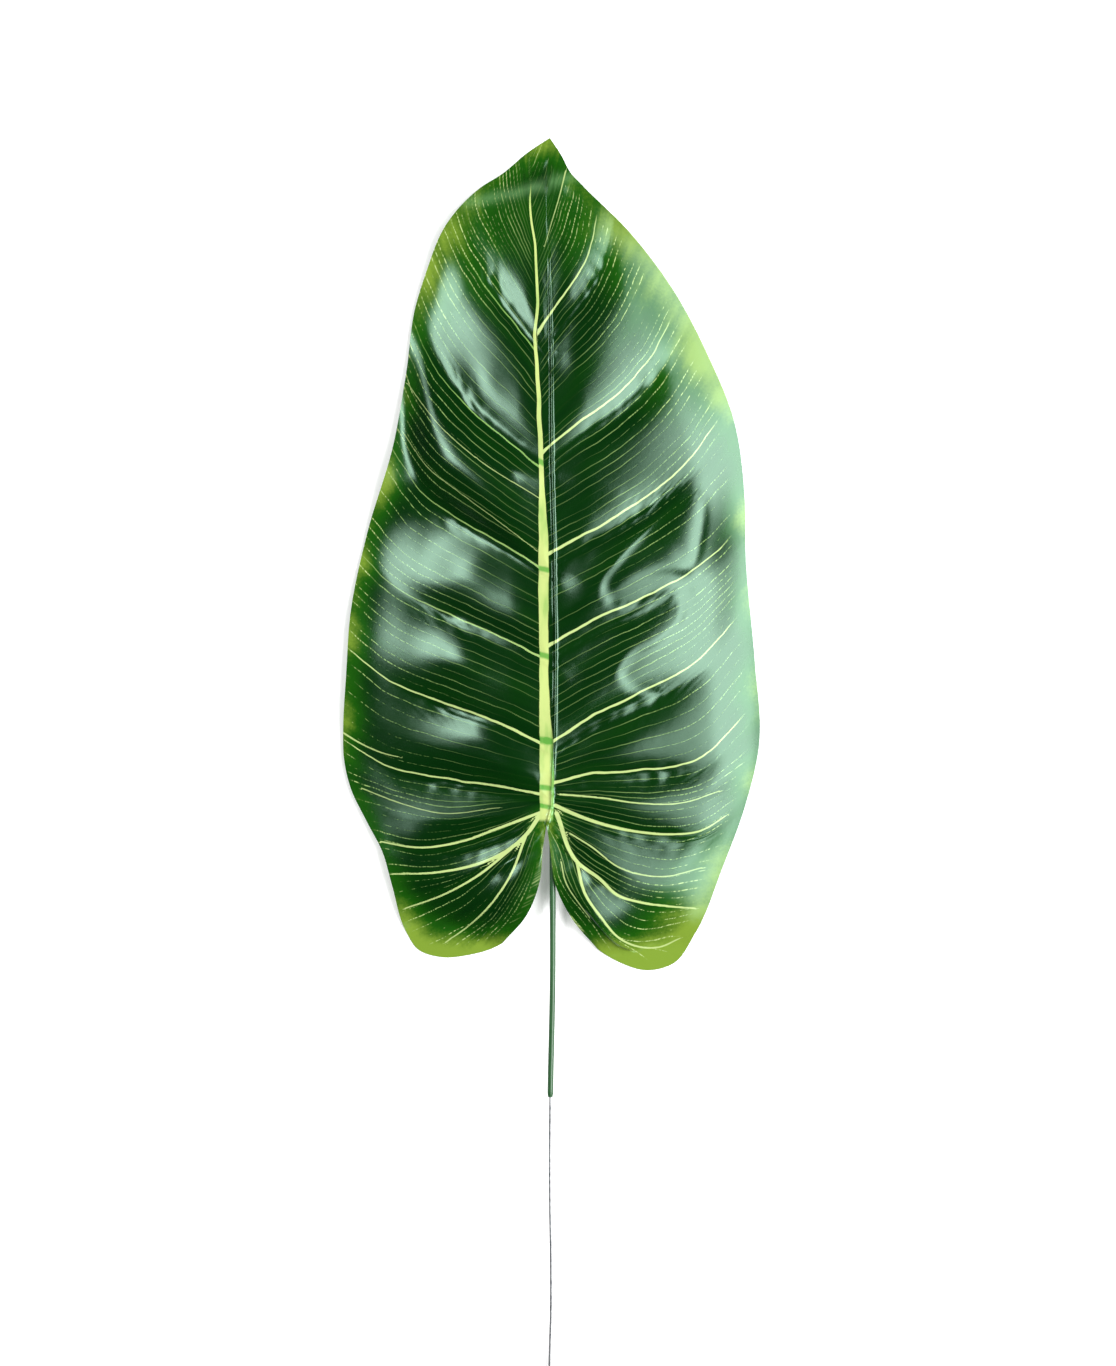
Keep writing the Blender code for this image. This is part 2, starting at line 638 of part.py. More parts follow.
def make_wire(material):
    """The steel wire: up inside the rib, down the sleeve, and bare to its cut end."""
    core = core_line()
    line = core[core[:, 1] < core[-1, 1] - WIRE_END_GAP]
    bm = bmesh.new()
    sweep(bm, line, [round_section(WIRE_RADIUS)] * len(line))
    return new_object("stem_wire", bm, material)


def main():
    """Clears the scene and makes the three pieces."""
    for thing in list(bpy.data.objects):
        bpy.data.objects.remove(thing)
    cloth = new_material("printed_cloth", (0.012, 0.085, 0.014), 0.32)
    plastic = new_material("moulded_plastic", (0.018, 0.075, 0.028), 0.38)
    steel = new_material("galvanised_steel", (0.42, 0.43, 0.44), 0.35, 1.0)
    make_blade(cloth)
    make_moulding(plastic)
    make_wire(steel)


main()
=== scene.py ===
"""Looks of a large artificial tropical leaf, lying face up on a pale surface.

The blade is woven cloth with a glossy coating. It is printed with a net of pale veins, sprayed
lime green along its margins, and heat-pressed onto a moulded plastic rib, so the ribs stand out
of its face a little to the right of the printed ones. A sleeve of the same plastic runs down
from the rib over a zinc-coated steel wire.

Sizes are in millimetres until a mesh is made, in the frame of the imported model: X across the
leaf, Y towards its tip and Z up, with the surface at height 0.
"""

import logging
import math
from dataclasses import dataclass, field
from enum import Enum

import bpy
import numpy as np
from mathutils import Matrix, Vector, noise


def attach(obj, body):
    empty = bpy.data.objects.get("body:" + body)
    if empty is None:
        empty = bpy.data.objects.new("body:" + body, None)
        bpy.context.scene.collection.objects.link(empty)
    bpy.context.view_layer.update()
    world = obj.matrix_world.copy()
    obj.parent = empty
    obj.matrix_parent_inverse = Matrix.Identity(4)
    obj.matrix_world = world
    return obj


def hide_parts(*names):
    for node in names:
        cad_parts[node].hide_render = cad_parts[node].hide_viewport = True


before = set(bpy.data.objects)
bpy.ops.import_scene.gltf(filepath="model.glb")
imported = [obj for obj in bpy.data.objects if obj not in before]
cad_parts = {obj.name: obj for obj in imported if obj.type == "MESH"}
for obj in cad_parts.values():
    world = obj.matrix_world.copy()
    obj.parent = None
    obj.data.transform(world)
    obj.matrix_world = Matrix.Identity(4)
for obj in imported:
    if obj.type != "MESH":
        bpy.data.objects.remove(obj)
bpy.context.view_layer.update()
MM = 0.001
FAR = 999.0
TINY = 1e-6
# How finely lines are drawn, and how many points are compared at once
POINT_STEPS = 24
EDGE_STEPS = 600
MIDLINE_STEPS = 400
FOLD_STEPS = 90
BATCH = 4000
# Places in the noise of the beads, puckers, ripples, printed rib and spray
BEAD_SEED = 3.0
PUCKER_SEED = 7.0
RIPPLE_SEED = 11.0
RIB_SEED = 9.0
SPRAY_SEED = 5.0
# Reaches after which a bell shape has died away
BELL = 3
BODY = "root"
LOG = logging.getLogger("leaf")

Points = np.ndarray
Pair = tuple[float, float]


class Side(Enum):
    """The two halves of the blade, on either side of its midline."""

    LEFT = -1
    RIGHT = 1


def slopes(knots: Points, values: Points) -> Points:
    """Three-point slopes of values over knots.

    Args:
        knots: rising places along the curve.
        values: one row of values for each knot.

    Returns:
        One row of slopes for each knot.
    """
    steps = np.diff(knots)
    rates = np.diff(values, axis=0) / steps[:, None]
    spans = (steps[:-1] + steps[1:])[:, None]
    inner = (rates[:-1] * steps[1:, None] + rates[1:] * steps[:-1, None]) / spans
    return np.vstack([rates[:1], inner, rates[-1:]])


def smooth(knots: Points, values: Points, at: Points) -> Points:
    """A smooth curve through values at knots, read at the given places.

    Args:
        knots: rising places along the curve.
        values: one row of values for each knot.
        at: places to read, held between the first knot and the last.

    Returns:
        One row of values for each place.
    """
    knots = np.asarray(knots, float)
    values = np.asarray(values, float).reshape(len(knots), -1)
    at = np.clip(np.asarray(at, float), knots[0], knots[-1])
    i = np.clip(np.searchsorted(knots, at, side="right") - 1, 0, len(knots) - 2)
    step = (knots[i + 1] - knots[i])[:, None]
    f = (at - knots[i])[:, None] / step
    m = slopes(knots, values)
    return (
        (2 * f**3 - 3 * f**2 + 1) * values[i]
        + (f**3 - 2 * f**2 + f) * step * m[i]
        + (3 * f**2 - 2 * f**3) * values[i + 1]
        + (f**3 - f**2) * step * m[i + 1]
    )


def along(points: Points, shares: Points) -> Points:
    """Points at shares of the length of the smooth curve through points.

    Args:
        points: the curve's own points.
        shares: places on it, from 0 at its start to 1 at its end.

    Returns:
        One point for each share.
    """
    points = np.asarray(points, float)
    chords = np.linalg.norm(np.diff(points, axis=0), axis=1)
    knots = np.concatenate([[0.0], np.cumsum(np.maximum(chords, TINY))])
    fine = smooth(knots, points, np.linspace(0, knots[-1], POINT_STEPS * len(points)))
    length = np.concatenate([[0.0], np.cumsum(np.linalg.norm(np.diff(fine, axis=0), axis=1))])
    wanted = np.asarray(shares) * length[-1]
    return np.column_stack([np.interp(wanted, length, fine[:, k]) for k in range(fine.shape[1])])


def shares_of(steps: int) -> Points:
    """Even shares from 0 to 1."""
    return np.linspace(0, 1, steps)


def ease(low: float, high: float, value: Points) -> Points:
    """0 below low, 1 above high, and smooth between them."""
    f = np.clip((value - low) / (high - low), 0, 1)
    return f * f * (3 - 2 * f)


def distance_along(line: Points) -> Points:
    """Distance from the line's start to each of its points."""
    return np.concatenate([[0.0], np.cumsum(np.linalg.norm(np.diff(line, axis=0), axis=1))])


def cross(first: Points, second: Points) -> Points:
    """Signed area between plan vectors, row by row."""
    return first[:, 0] * second[:, 1] - first[:, 1] * second[:, 0]


def nearest_on(points: Points, line: Points, within: float = FAR) -> tuple[Points, Points]:
    """The line's nearest point to each given point.

    Args:
        points: plan points.
        line: closely spaced plan points of a line.
        within: how far from the line's box a point still matters.

    Returns:
        The distance to the line, or FAR where it doesn't matter, and the nearest point's index.
    """
    near = np.all((points > line.min(0) - within) & (points < line.max(0) + within), axis=1)
    distance = np.full(len(points), FAR)
    index = np.zeros(len(points), int)
    chosen = np.flatnonzero(near)
    for part in np.array_split(chosen, len(chosen) // BATCH + 1):
        gaps = np.linalg.norm(points[part, None, :] - line[None, :, :], axis=2)
        index[part] = gaps.argmin(1)
        distance[part] = gaps[np.arange(len(part)), index[part]]
    return distance, index


def side_of(points: Points, line: Points, within: float) -> tuple[Points, Points, Points]:
    """Distance to a line, and the side of it.

    Args:
        points: plan points.
        line: closely spaced plan points of a line.
        within: how far from the line's box a point still matters.

    Returns:
        The distances, the indexes of the nearest points, and whether each is left of its run.
    """
    gaps, nearest = nearest_on(points, line, within)
    run = np.gradient(line, axis=0)[nearest]
    return gaps, nearest, cross(run, points - line[nearest]) > 0


def grain(points: Points, pitch: float, seed: float) -> Points:
    """Smooth noise between about -1 and 1 over plan points, with that pitch."""
    return np.array([noise.noise(Vector((x / pitch, y / pitch, seed))) for x, y in points])


@dataclass(frozen=True)
class Vein:
    """A side vein's line: where it leaves the midline, three points on its way, and its end."""

    root: float
    way: tuple[Pair, Pair, Pair]
    end: Pair
    print_strength: float
    ribbed: bool
    fine_spaces: int


@dataclass(frozen=True)
class LoneVein:
    """A printed vein's line as it lies on the cloth, and its width at its start and its end."""

    line: tuple[Pair, ...]
    widths: Pair


# Line where the two halves meet, from the notch to the tip
MIDLINE: list[Pair] = [
    (-2, -18.5), (-0.5, -13.5), (0.5, 1), (1.5, 23.5), (1.5, 100), (0.5, 140.5),
    (0, 199), (-1, 235), (-2, 255.5), (-2, 272), (-0.5, 290),
]
# Outlines, each from the notch round one lobe and up that side to the tip
OUTLINES: dict[Side, list[Pair]] = {
    Side.LEFT: [
        (-2, -18.5), (-3.5, -24), (-4, -31.5), (-6, -45.5), (-11.5, -60), (-16, -67.5),
        (-25, -74), (-36.5, -77.5), (-50, -78.5), (-60, -75), (-65, -67.5), (-71.5, -45.5),
        (-75.5, -31.5), (-83, -17), (-90, -2.5), (-93.2, 12), (-93.4, 22.5), (-92, 48),
        (-90, 76.5), (-82.5, 112.5), (-71.5, 148.5), (-65, 184.5), (-61, 213.5), (-56.5, 228),
        (-47, 250.5), (-32, 267), (-21.5, 274), (-11, 283), (-0.5, 290),
    ],
    Side.RIGHT: [
        (-2, -18.5), (-0.5, -24), (0.5, -38.5), (5, -53), (14, -67.5), (20.5, -74.5),
        (31, -81), (43.5, -84.5), (55, -81.5), (65, -67.5), (77, -38.5), (87.5, -9.5),
        (93.4, 17), (91.5, 55), (87.5, 102), (87, 127), (82, 163), (70.5, 192),
        (55.5, 220.5), (35.5, 247), (14.5, 268), (9, 274), (4.5, 282.5), (-0.5, 290),
    ],
}
VEINS: dict[Side, list[Vein]] = {
    Side.LEFT: [
        Vein(-18.5, ((-3.5, -28), (-5, -44), (-11, -59.5)), (-21.5, -72), 0, False, 3),
        Vein(-18, ((-4.5, -31.5), (-9.5, -46), (-17.5, -60)), (-33, -77), 0, False, 4),
        Vein(-17, ((-8, -27), (-16, -45.5), (-28, -62)), (-54.5, -77.5), 0, False, 4),
        Vein(-16.5, ((-8, -26.5), (-23, -39), (-41, -51.5)), (-67, -63), 0, True, 4),
        Vein(-16, ((-8, -26), (-24, -36), (-43, -43)), (-72, -44), 0, False, 4),
        Vein(-14, ((-18, -23), (-36.5, -29.5), (-54.5, -32.5)), (-76.5, -28.5), 0, True, 5),
        Vein(-11.5, ((-20, -14), (-43, -17), (-65.5, -12.5)), (-88.5, -5.5), 0, False, 5),
        Vein(-9, ((-20, -5), (-47, -1), (-69.5, 3.5)), (-93.5, 18), 0.9, True, 7),
        Vein(13, ((-21.5, 24), (-46.5, 33), (-69, 42.5)), (-92, 60.5), 0.95, True, 10),
        Vein(51.5, ((-19, 62), (-41.5, 72), (-63.5, 83)), (-85.5, 103.5), 0.64, True, 11),
        Vein(91, ((-16, 102.5), (-34, 113), (-52, 126)), (-70, 154), 0.6, True, 12),
        Vein(137, ((-14.5, 149.5), (-31, 164), (-45.5, 182)), (-61, 215.5), 0.5, True, 13),
        Vein(188.5, ((-11, 203), (-21.5, 217), (-32.5, 235)), (-41, 258.5), 0.4, True, 6),
        Vein(203.5, ((-11, 220.5), (-20, 237.5), (-27.5, 253)), (-29, 269.5), 0, False, 6),
        Vein(217, ((-7, 231.5), (-14, 246.5), (-18, 262)), (-18, 277), 0, False, 9),
        Vein(247, ((-3.5, 256.5), (-5, 266.5), (-6, 276.5)), (-6.5, 286), 0, False, 9),
    ],
    Side.RIGHT: [
        Vein(-18.5, ((-0.5, -28.5), (2, -45.5), (9.5, -61)), (21, -75), 0, False, 3),
        Vein(-18, ((4.5, -34), (10, -50), (22, -65.5)), (36.5, -83), 0, False, 3),
        Vein(-17, ((9.5, -32), (17.5, -53.5), (33.5, -73.5)), (62.5, -72), 0, False, 5),
        Vein(-16.5, ((10.5, -34), (26, -48), (47, -58)), (70, -57), 0, True, 4),
        Vein(-16, ((11.5, -27), (28, -38.5), (49.5, -45.5)), (75.5, -42.5), 0, False, 5),
        Vein(-14, ((18, -19), (43, -25.5), (65, -26)), (85.5, -14.5), 0, True, 4),
        Vein(-9, ((25, -10.5), (46.5, -13), (70, -9.5)), (90.5, 1.5), 0, False, 5),
        Vein(-4.5, ((18, 0), (43, 2.5), (68, 6.5)), (93, 31.5), 1, True, 7),
        Vein(13, ((20.5, 25.5), (43.5, 37), (68.5, 50.5)), (90, 73), 1, True, 11),
        Vein(57.5, ((22, 68.5), (45.5, 79.5), (68.5, 91.5)), (87.5, 109), 0.95, True, 10),
        Vein(97.5, ((23.5, 109.5), (45, 122.5), (66.5, 140.5)), (82.5, 161.5), 0.95, True, 12),
        Vein(142.5, ((16.5, 156), (33, 168), (47.5, 183)), (63, 208.5), 0.85, True, 18),
        Vein(197, ((9.5, 211), (19.5, 225), (25, 238)), (29, 254.5), 0.85, True, 9),
        Vein(224, ((4.5, 237.5), (9.5, 250), (12.5, 260)), (15, 267.5), 0, False, 8),
        Vein(247, ((1, 255.5), (4, 263), (6.5, 270)), (7.5, 276), 0, False, 9),
    ],
}
# Printed veins with lines of their own: those of the lobes, and accents between the side veins
LONE_VEINS: list[LoneVein] = [
    LoneVein(((-4.5, -13), (-23, -20), (-41, -26.5), (-59, -29), (-76.5, -26.5)), (1.3, 0.7)),
    LoneVein(((-5, -14.5), (-11, -23), (-18.5, -29.5), (-32, -36), (-50, -40), (-71.5, -41)),
              (1.9, 0.6)),
    LoneVein(((-18.5, -30), (-32, -41), (-50, -51), (-65.5, -56.5)), (1.2, 0.6)),
    LoneVein(((-11, -23), (-18.5, -42), (-27.5, -55), (-36.5, -64), (-47.5, -72)), (1.2, 0.5)),
    LoneVein(((-23, -11), (-50, -13.5), (-68, -9), (-85, -2.5)), (0.3, 0.5)),
    LoneVein(((-5, 127), (-32, 144), (-50, 160), (-65, 180)), (0.42, 0.36)),
    LoneVein(((-6, 103.5), (-23, 116.5), (-41, 130), (-54.5, 140.5), (-66.5, 157.5)), (0.4, 0.36)),
    LoneVein(((-93.5, 22.5), (-88, 19), (-74.5, 13), (-68, 11.5)), (0.8, 0.4)),
    LoneVein(((2, -10), (8.5, -13), (22, -18), (40, -22), (53.5, -23), (67, -21.5),
              (79, -14.5)), (1.7, 0.6)),
    LoneVein(((8.5, -22.5), (17.5, -28), (31, -38), (49, -42), (68.5, -38)), (0.7, 0.5)),
    LoneVein(((2.5, -13.5), (11.5, -35), (22, -43), (29.5, -50), (40, -53.5), (53.5, -55.5),
              (65, -56.5)), (2, 0.7)),
    LoneVein(((11.5, -35), (15.5, -50), (22, -59.5), (31, -70), (40, -74), (49, -74),
              (58, -70)), (1.4, 0.6)),
    LoneVein(((4.5, -35), (6.5, -44), (13, -54.5), (17.5, -60.5)), (0.6, 0.4)),
    LoneVein(((4, -5), (22, -6.5), (40, -9), (58, -9), (76, -3.5)), (0.8, 0.5)),
    LoneVein(((-3, 240), (0.5, 252), (4, 264), (6.6, 275)), (0.3, 0.6)),
]
# Stem, from the notch to its cut end
STEM_ROUTE: list[Pair] = [
    (0.6, -19.5), (0.7, -91), (-0.3, -140), (-0.6, -165), (-0.1, -240), (-0.7, -262), (-0.5, -290),
]
TIP: Pair = MIDLINE[-1]


@dataclass
class LeafHalf:
    """One half of the blade, as a net of rows that run from the midline out to the outline."""

    side: Side
    side_rib_length: float = 54.0
    lobe_rib_length: float = 30.0
    rib_share: float = 0.62
    lobe_root: float = -16.0
    rib_steps: int = 100
    net_steps: int = 220
    net_columns: int = 50
    coarse_steps: int = 4
    coarse_columns: int = 3
    closing_steps: int = 9
    least_area: float = 1.0
    longest_moves: Pair = (0.6, 0.2)
    share_limits: Pair = (-0.02, 1.2)

    def __post_init__(self) -> None:
        """Reads the half's lines and draws its net once."""
        shares = shares_of(EDGE_STEPS)
        self.veins = VEINS[self.side]
        self.edge = along(OUTLINES[self.side], shares)
        self.mid = along(MIDLINE, shares)
        self.roots = np.array([v.root for v in self.veins] + [TIP[1]])
        self.ways = np.array([np.ravel(v.way) for v in self.veins] + [[*TIP, *TIP, *TIP]])
        ends = np.array([v.end for v in self.veins] + [TIP])
        _, found = nearest_on(ends, self.edge)
        self.ends = np.maximum.accumulate(found).astype(float)
        self.last = len(self.veins)
        columns = shares_of(self.net_columns)
        orders = np.linspace(0, self.last, self.net_steps)
        self.net = np.array([self.row(order, columns) for order in orders])

    def order_of(self, root: Points) -> Points:
        """Place in the list of veins, with parts between them, of a height on the midline."""
        return np.interp(root, self.roots, np.arange(self.last + 1))

    def row(self, order: float, shares: Points) -> Points:
        """Points of one row of the half.

        Args:
            order: the row's place in the list of veins.
            shares: places along it, from 0 at the midline to 1 at the outline.

        Returns:
            One plan point for each share.
        """
        places = np.arange(self.last + 1)
        way = smooth(places, self.ways, [order])[0].reshape(3, 2)
        end = smooth(places, self.ends, [order])[0, 0]
        root = np.interp(order, places, self.roots)
        start = np.array([np.interp(root, self.mid[:, 1], self.mid[:, 0]), root])
        steps = np.arange(len(self.edge))
        stop = np.array([np.interp(end, steps, self.edge[:, k]) for k in (0, 1)])
        if np.linalg.norm(stop - start) < MM:
            return np.tile(start, (len(shares), 1))
        return along([start, *way, stop], shares)

    def ribbed_veins(self) -> list[tuple[Points, float]]:
        """The veins that a rib backs.

        Returns:
            The line of each, and the length of its rib.
        """
        found = []
        for order, vein in enumerate(self.veins):
            if vein.ribbed:
                line = self.row(order, shares_of(self.rib_steps))
                lobe = vein.root < self.lobe_root
                reach = self.lobe_rib_length if lobe else self.side_rib_length
                found.append((line, min(reach, self.rib_share * distance_along(line)[-1])))
        return found

    def at_net(self, order: Points, share: Points) -> tuple[Points, Points, Points]:
        """Plan points of the net, carried on in straight lines past its edges.

        Args:
            order: places in the list of veins.
            share: places from the midline to the outline.

        Returns:
            The points, and how they move with order and with share.
        """
        u = order / self.last * (self.net_steps - 1)
        v = share * (self.net_columns - 1)
        i = np.clip(np.floor(u).astype(int), 0, self.net_steps - 2)
        j = np.clip(np.floor(v).astype(int), 0, self.net_columns - 2)
        a, b = (u - i)[:, None], (v - j)[:, None]
        p00, p10 = self.net[i, j], self.net[i + 1, j]
        p01, p11 = self.net[i, j + 1], self.net[i + 1, j + 1]
        spot = (p00 * (1 - a) + p10 * a) * (1 - b) + (p01 * (1 - a) + p11 * a) * b
        by_order = ((p10 - p00) * (1 - b) + (p11 - p01) * b) * (self.net_steps - 1) / self.last
        by_share = ((p01 - p00) * (1 - a) + (p11 - p10) * a) * (self.net_columns - 1)
        return spot, by_order, by_share

    def place_on_net(self, spots: Points) -> tuple[Points, Points, Points, Points]:
        """Where plan points lie on the net, found from its nearest knot by Newton's steps.

        Args:
            spots: plan points.

        Returns:
            Their orders, their shares, their distances out from the midline along the row, and
            the width of one step in order there.
        """
        coarse = self.net[:: self.coarse_steps, :: self.coarse_columns]
        columns = coarse.shape[1]
        _, nearest = nearest_on(spots, coarse.reshape(-1, 2))
        order = (nearest // columns) * self.coarse_steps / (self.net_steps - 1) * self.last
        share = (nearest % columns) * self.coarse_columns / (self.net_columns - 1)
        furthest, widest = self.longest_moves
        least = self.least_area
        for _ in range(self.closing_steps):
            spot, by_order, by_share = self.at_net(order, share)
            miss = spots - spot
            area = cross(by_order, by_share)
            area = np.where(np.abs(area) < least, np.where(area < 0, -least, least), area)
            order_move = np.clip(cross(miss, by_share) / area, -furthest, furthest)
            share_move = np.clip(cross(by_order, miss) / area, -widest, widest)
            order = np.clip(order + order_move, 0, self.last)
            share = np.clip(share + share_move, *self.share_limits)
        _, by_order, by_share = self.at_net(order, share)
        length = np.linalg.norm(by_share, axis=1)
        width = np.abs(cross(by_order, by_share)) / np.maximum(length, TINY)
        return order, share, share * length, width


@dataclass(frozen=True)
class Swell:
    """A rise or hollow in the sheet, as an oval that may be turned."""

    centre: Pair
    reach: Pair
    turn: float
    rise: float

    def height(self, points: Points) -> Points:
        """The swell's height.

        Args:
            points: plan points.

        Returns:
            One height for each point.
        """
        c, s = math.cos(math.radians(self.turn)), math.sin(math.radians(self.turn))
        away = points - np.array(self.centre)
        u = (away[:, 0] * c + away[:, 1] * s) / self.reach[0]
        v = (-away[:, 0] * s + away[:, 1] * c) / self.reach[1]
        return self.rise * np.exp(-(u**2) - v**2)


@dataclass(frozen=True)
class Crest:
    """A soft fold in the sheet that follows a line, with one flank steeper than the other.

    The reaches are those of the flanks to the left and to the right of the line's run.
    """

    line: tuple[Pair, ...]
    reaches: Pair
    rise: float
    runout: float = 0.2

    def height(self, points: Points) -> Points:
        """The fold's height.

        Args:
            points: plan points.

        Returns:
            One height for each point.
        """
        fine = along(self.line, shares_of(FOLD_STEPS))
        gaps, nearest, left = side_of(points, fine, BELL * max(self.reaches))
        share = nearest / (len(fine) - 1)
        ends = ease(0.0, self.runout, share) * (1 - ease(1 - self.runout, 1.0, share))
        reach = np.where(left, *self.reaches)
        return self.rise * ends * np.exp(-((gaps / reach) ** 2))


@dataclass
class SheetShape:
    """Heights of the blade's printed face: its arch, waved margins, valleys and pressed ribs."""

    halves: dict[Side, LeafHalf]
    solid_thickness: float = 0.8
    crown: tuple[Pair, ...] = (
        (-18.5, 11.5), (20, 15), (90, 18), (155, 17), (190, 13.6), (220, 9.2),
        (250, 6), (272, 4), (290, 0.8),
    )
    falls: dict[Side, tuple[tuple[float, float, float], ...]] = field(
        default_factory=lambda: {
            Side.LEFT: (
                (-18.5, 0, 1), (15, 0.1, 0.9), (60, 0, 0.95), (92, 0, 0.95),
                (112, 0.30, 1.30), (136, -0.05, 0.95), (170, -0.10, 0.95),
            ),
            Side.RIGHT: (
                (-18.5, 0.15, 1.3), (15, 0.25, 1.35), (45, 0.30, 1.5), (85, 0.22, 1.55),
                (120, 0, 1.6), (150, -0.10, 1.6),
            ),
        }
    )
    margin_wave: dict[Side, tuple[float, float, float]] = field(
        default_factory=lambda: {Side.LEFT: (2.2, 100, 29), Side.RIGHT: (2.6, 128, 118)}
    )
    margin_low: float = 0.4
    slim_tip: float = 125.0
    billow_rise: float = 2.8
    billow_reach: float = 8.5
    billow_power: float = 1.5
    billow_inside: float = 0.6
    billow_full_width: float = 22.0
    valley_to_margin: dict[Side, float] = field(
        default_factory=lambda: {Side.LEFT: 0.3, Side.RIGHT: 0.12}
    )
    rib_fade: float = 14.0
    margin_calm: float = 0.4
    margin_calm_from: float = 0.7
    tip_fold: tuple[Pair, Pair] = ((-34.0, 259.0), (12.0, 270.0))
    tip_fold_drop: float = 0.16
    feet: tuple[Pair, Pair] = ((-47.0, -77.0), (44.0, -83.0))
    foot_reach: float = 20.0
    foot_drop: float = 9.5
    foot_blend: float = 1.2
    main_ridge: Pair = (0.8, 0.6)
    main_ridge_foot: Pair = (-24.0, -16.0)
    main_ridge_head: Pair = (210.0, 250.0)
    bead_rise: float = 0.8
    bead_pitch: float = 3.4
    bead_squeeze: Pair = (1.3, 1.0)
    bead_sill: float = 0.22
    bead_reach: float = 0.8
    side_ridge: Pair = (0.36, 1.2)
    side_ridge_end: Pair = (-6.0, 2.0)
    pucker_rise: float = 0.42
    pucker_pitch: float = 5.0
    pucker_reach: float = 5.0
    pucker_base: float = 0.35
    pucker_gather: float = 14.0
    pucker_runout: float = 16.0
    ripple_rise: float = 0.2
    ripple_pitch: float = 30.0
    ripple_start: float = 0.3
    ripple_at_margin: float = 0.3
    calm_tip: Pair = (255.0, 285.0)
    swells: tuple[Swell, ...] = (
        Swell((62, 109), (14, 21), -10, 1.6),
        Swell((-40, 256), (22, 13), 35, 1.2),
        Swell((-34, 180), (12, 24), 30, 1.3),
        Swell((-38, 97), (14, 12), 0, 1.7),
        Swell((-41, 57), (12, 9.5), -20, 1.6),
        Swell((-28, 24), (16, 10), -15, 1.7),
        Swell((-16, 4), (12, 6), -10, 0.9),
        Swell((62, 113), (13, 18), -10, 0.6),
        Swell((-34, 229), (10, 16), 30, 0.9),
        Swell((-31, 180), (7.5, 13), 15, 0.5),
        Swell((-62, 137), (18, 16), 0, 3),
        Swell((-60, -30), (17, 13), 0, 1.6),
    )
    crests: tuple[Crest, ...] = (
        Crest(((53, 133), (48, 121.5), (30, 101.5), (21, 87), (25.5, 78.5), (35, 78), (57, 82),
               (57, 74.5), (50, 67), (33, 56.5), (29, 49), (33, 41.5), (53, 38.5)), (3, 20), 1.05),
        Crest(((22, 83), (34.5, 91), (52.5, 97), (61.5, 96.5), (66, 109), (65, 130), (59, 135)),
              (7, 2.4), 0.6),
        Crest(((-37, 260.5), (-20, 263.5), (-3, 268), (11, 272)), (3, 7), 0.7),
        Crest(((-40, 166), (-28, 151), (-12, 134)), (3.5, 8), 0.7),
    )

    def __post_init__(self) -> None:
        """Collects the ribbed veins of both halves."""
        self.ribbed = [vein for half in self.halves.values() for vein in half.ribbed_veins()]

    def valley(self, points: Points) -> Points:
        """How deep points lie in the valleys that the side ribs draw in.

        Args:
            points: plan points.

        Returns:
            1 on a side vein's line over its rib, less away from it and towards the margin.
        """
        depth = np.zeros(len(points))
        for line, reach in self.ribbed:
            side = Side.LEFT if line[-1][0] < 0 else Side.RIGHT
            lasting = self.valley_to_margin[side]
            fade = ease(reach - self.rib_fade, reach + 2 * self.rib_fade, distance_along(line))
            strength = 1 - (1 - lasting) * fade
            gaps, nearest = nearest_on(points, line, BELL * self.billow_reach)
            flank = np.exp(-((gaps / self.billow_reach) ** self.billow_power))
            depth = np.maximum(depth, strength[nearest] * flank)
        return depth

    def softened(self, height: Points) -> Points:
        """Height that levels off at 0 where it would go below the surface.

        Args:
            height: heights above the surface.

        Returns:
            The heights, bent to 0 over a short blend.
        """
        blend = self.foot_blend
        bend = np.where(height > -blend, (height + blend) ** 2 / (4 * blend), 0.0)
        return np.where(height > blend, height, bend)

    def broad(self, points: Points, root: Points, share: Points, side: Side) -> Points:
        """Heights of the face without its small relief.

        Args:
            points: plan points.
            root: where each point's row leaves the midline.
            share: each point's place along its row.
            side: the half they lie on.

        Returns:
            One height for each point.
        """
        crown = smooth(*zip(*self.crown), root)[:, 0]
        table = np.array(self.falls[side])
        low, high = smooth(table[:, 0], table[:, 1:], root).T
        start = ease(low, high, 0.0)
        fall = (ease(low, high, share) - start) / (ease(low, high, 1.0) - start)
        amplitude, period, phase = self.margin_wave[side]
        wave = 0.5 + 0.5 * np.sin(2 * math.pi * (points[:, 1] - phase) / period)
        slim = ease(0.0, self.slim_tip, TIP[1] - root)
        margin = self.solid_thickness + self.margin_low + amplitude * wave * slim
        width = np.linalg.norm(points - np.column_stack([np.zeros_like(root), root]), axis=1)
        outer = (1 - self.billow_inside) * ease(0.0, self.billow_full_width, width)
        swell = self.billow_rise * (1 - self.valley(points)) * (self.billow_inside + outer) * slim
        swell = swell * (1 - self.margin_calm * ease(self.margin_calm_from, 1.0, share))
        (x0, y0), (x1, y1) = self.tip_fold
        run = math.hypot(x1 - x0, y1 - y0)
        across = ((points[:, 0] - x0) * (y0 - y1) + (points[:, 1] - y0) * (x1 - x0)) / run
        fold = self.tip_fold_drop * np.maximum(across, 0)
        gaps = np.linalg.norm(points[:, None, :] - np.array(self.feet)[None, :, :], axis=2).min(1)
        foot = self.foot_drop * np.exp(-((gaps / self.foot_reach) ** 2))
        placed = sum(extra.height(points) for extra in (*self.swells, *self.crests))
        z = crown * (1 - fall) + margin * fall + swell + placed - fold - foot
        return self.solid_thickness + self.softened(z - self.solid_thickness)

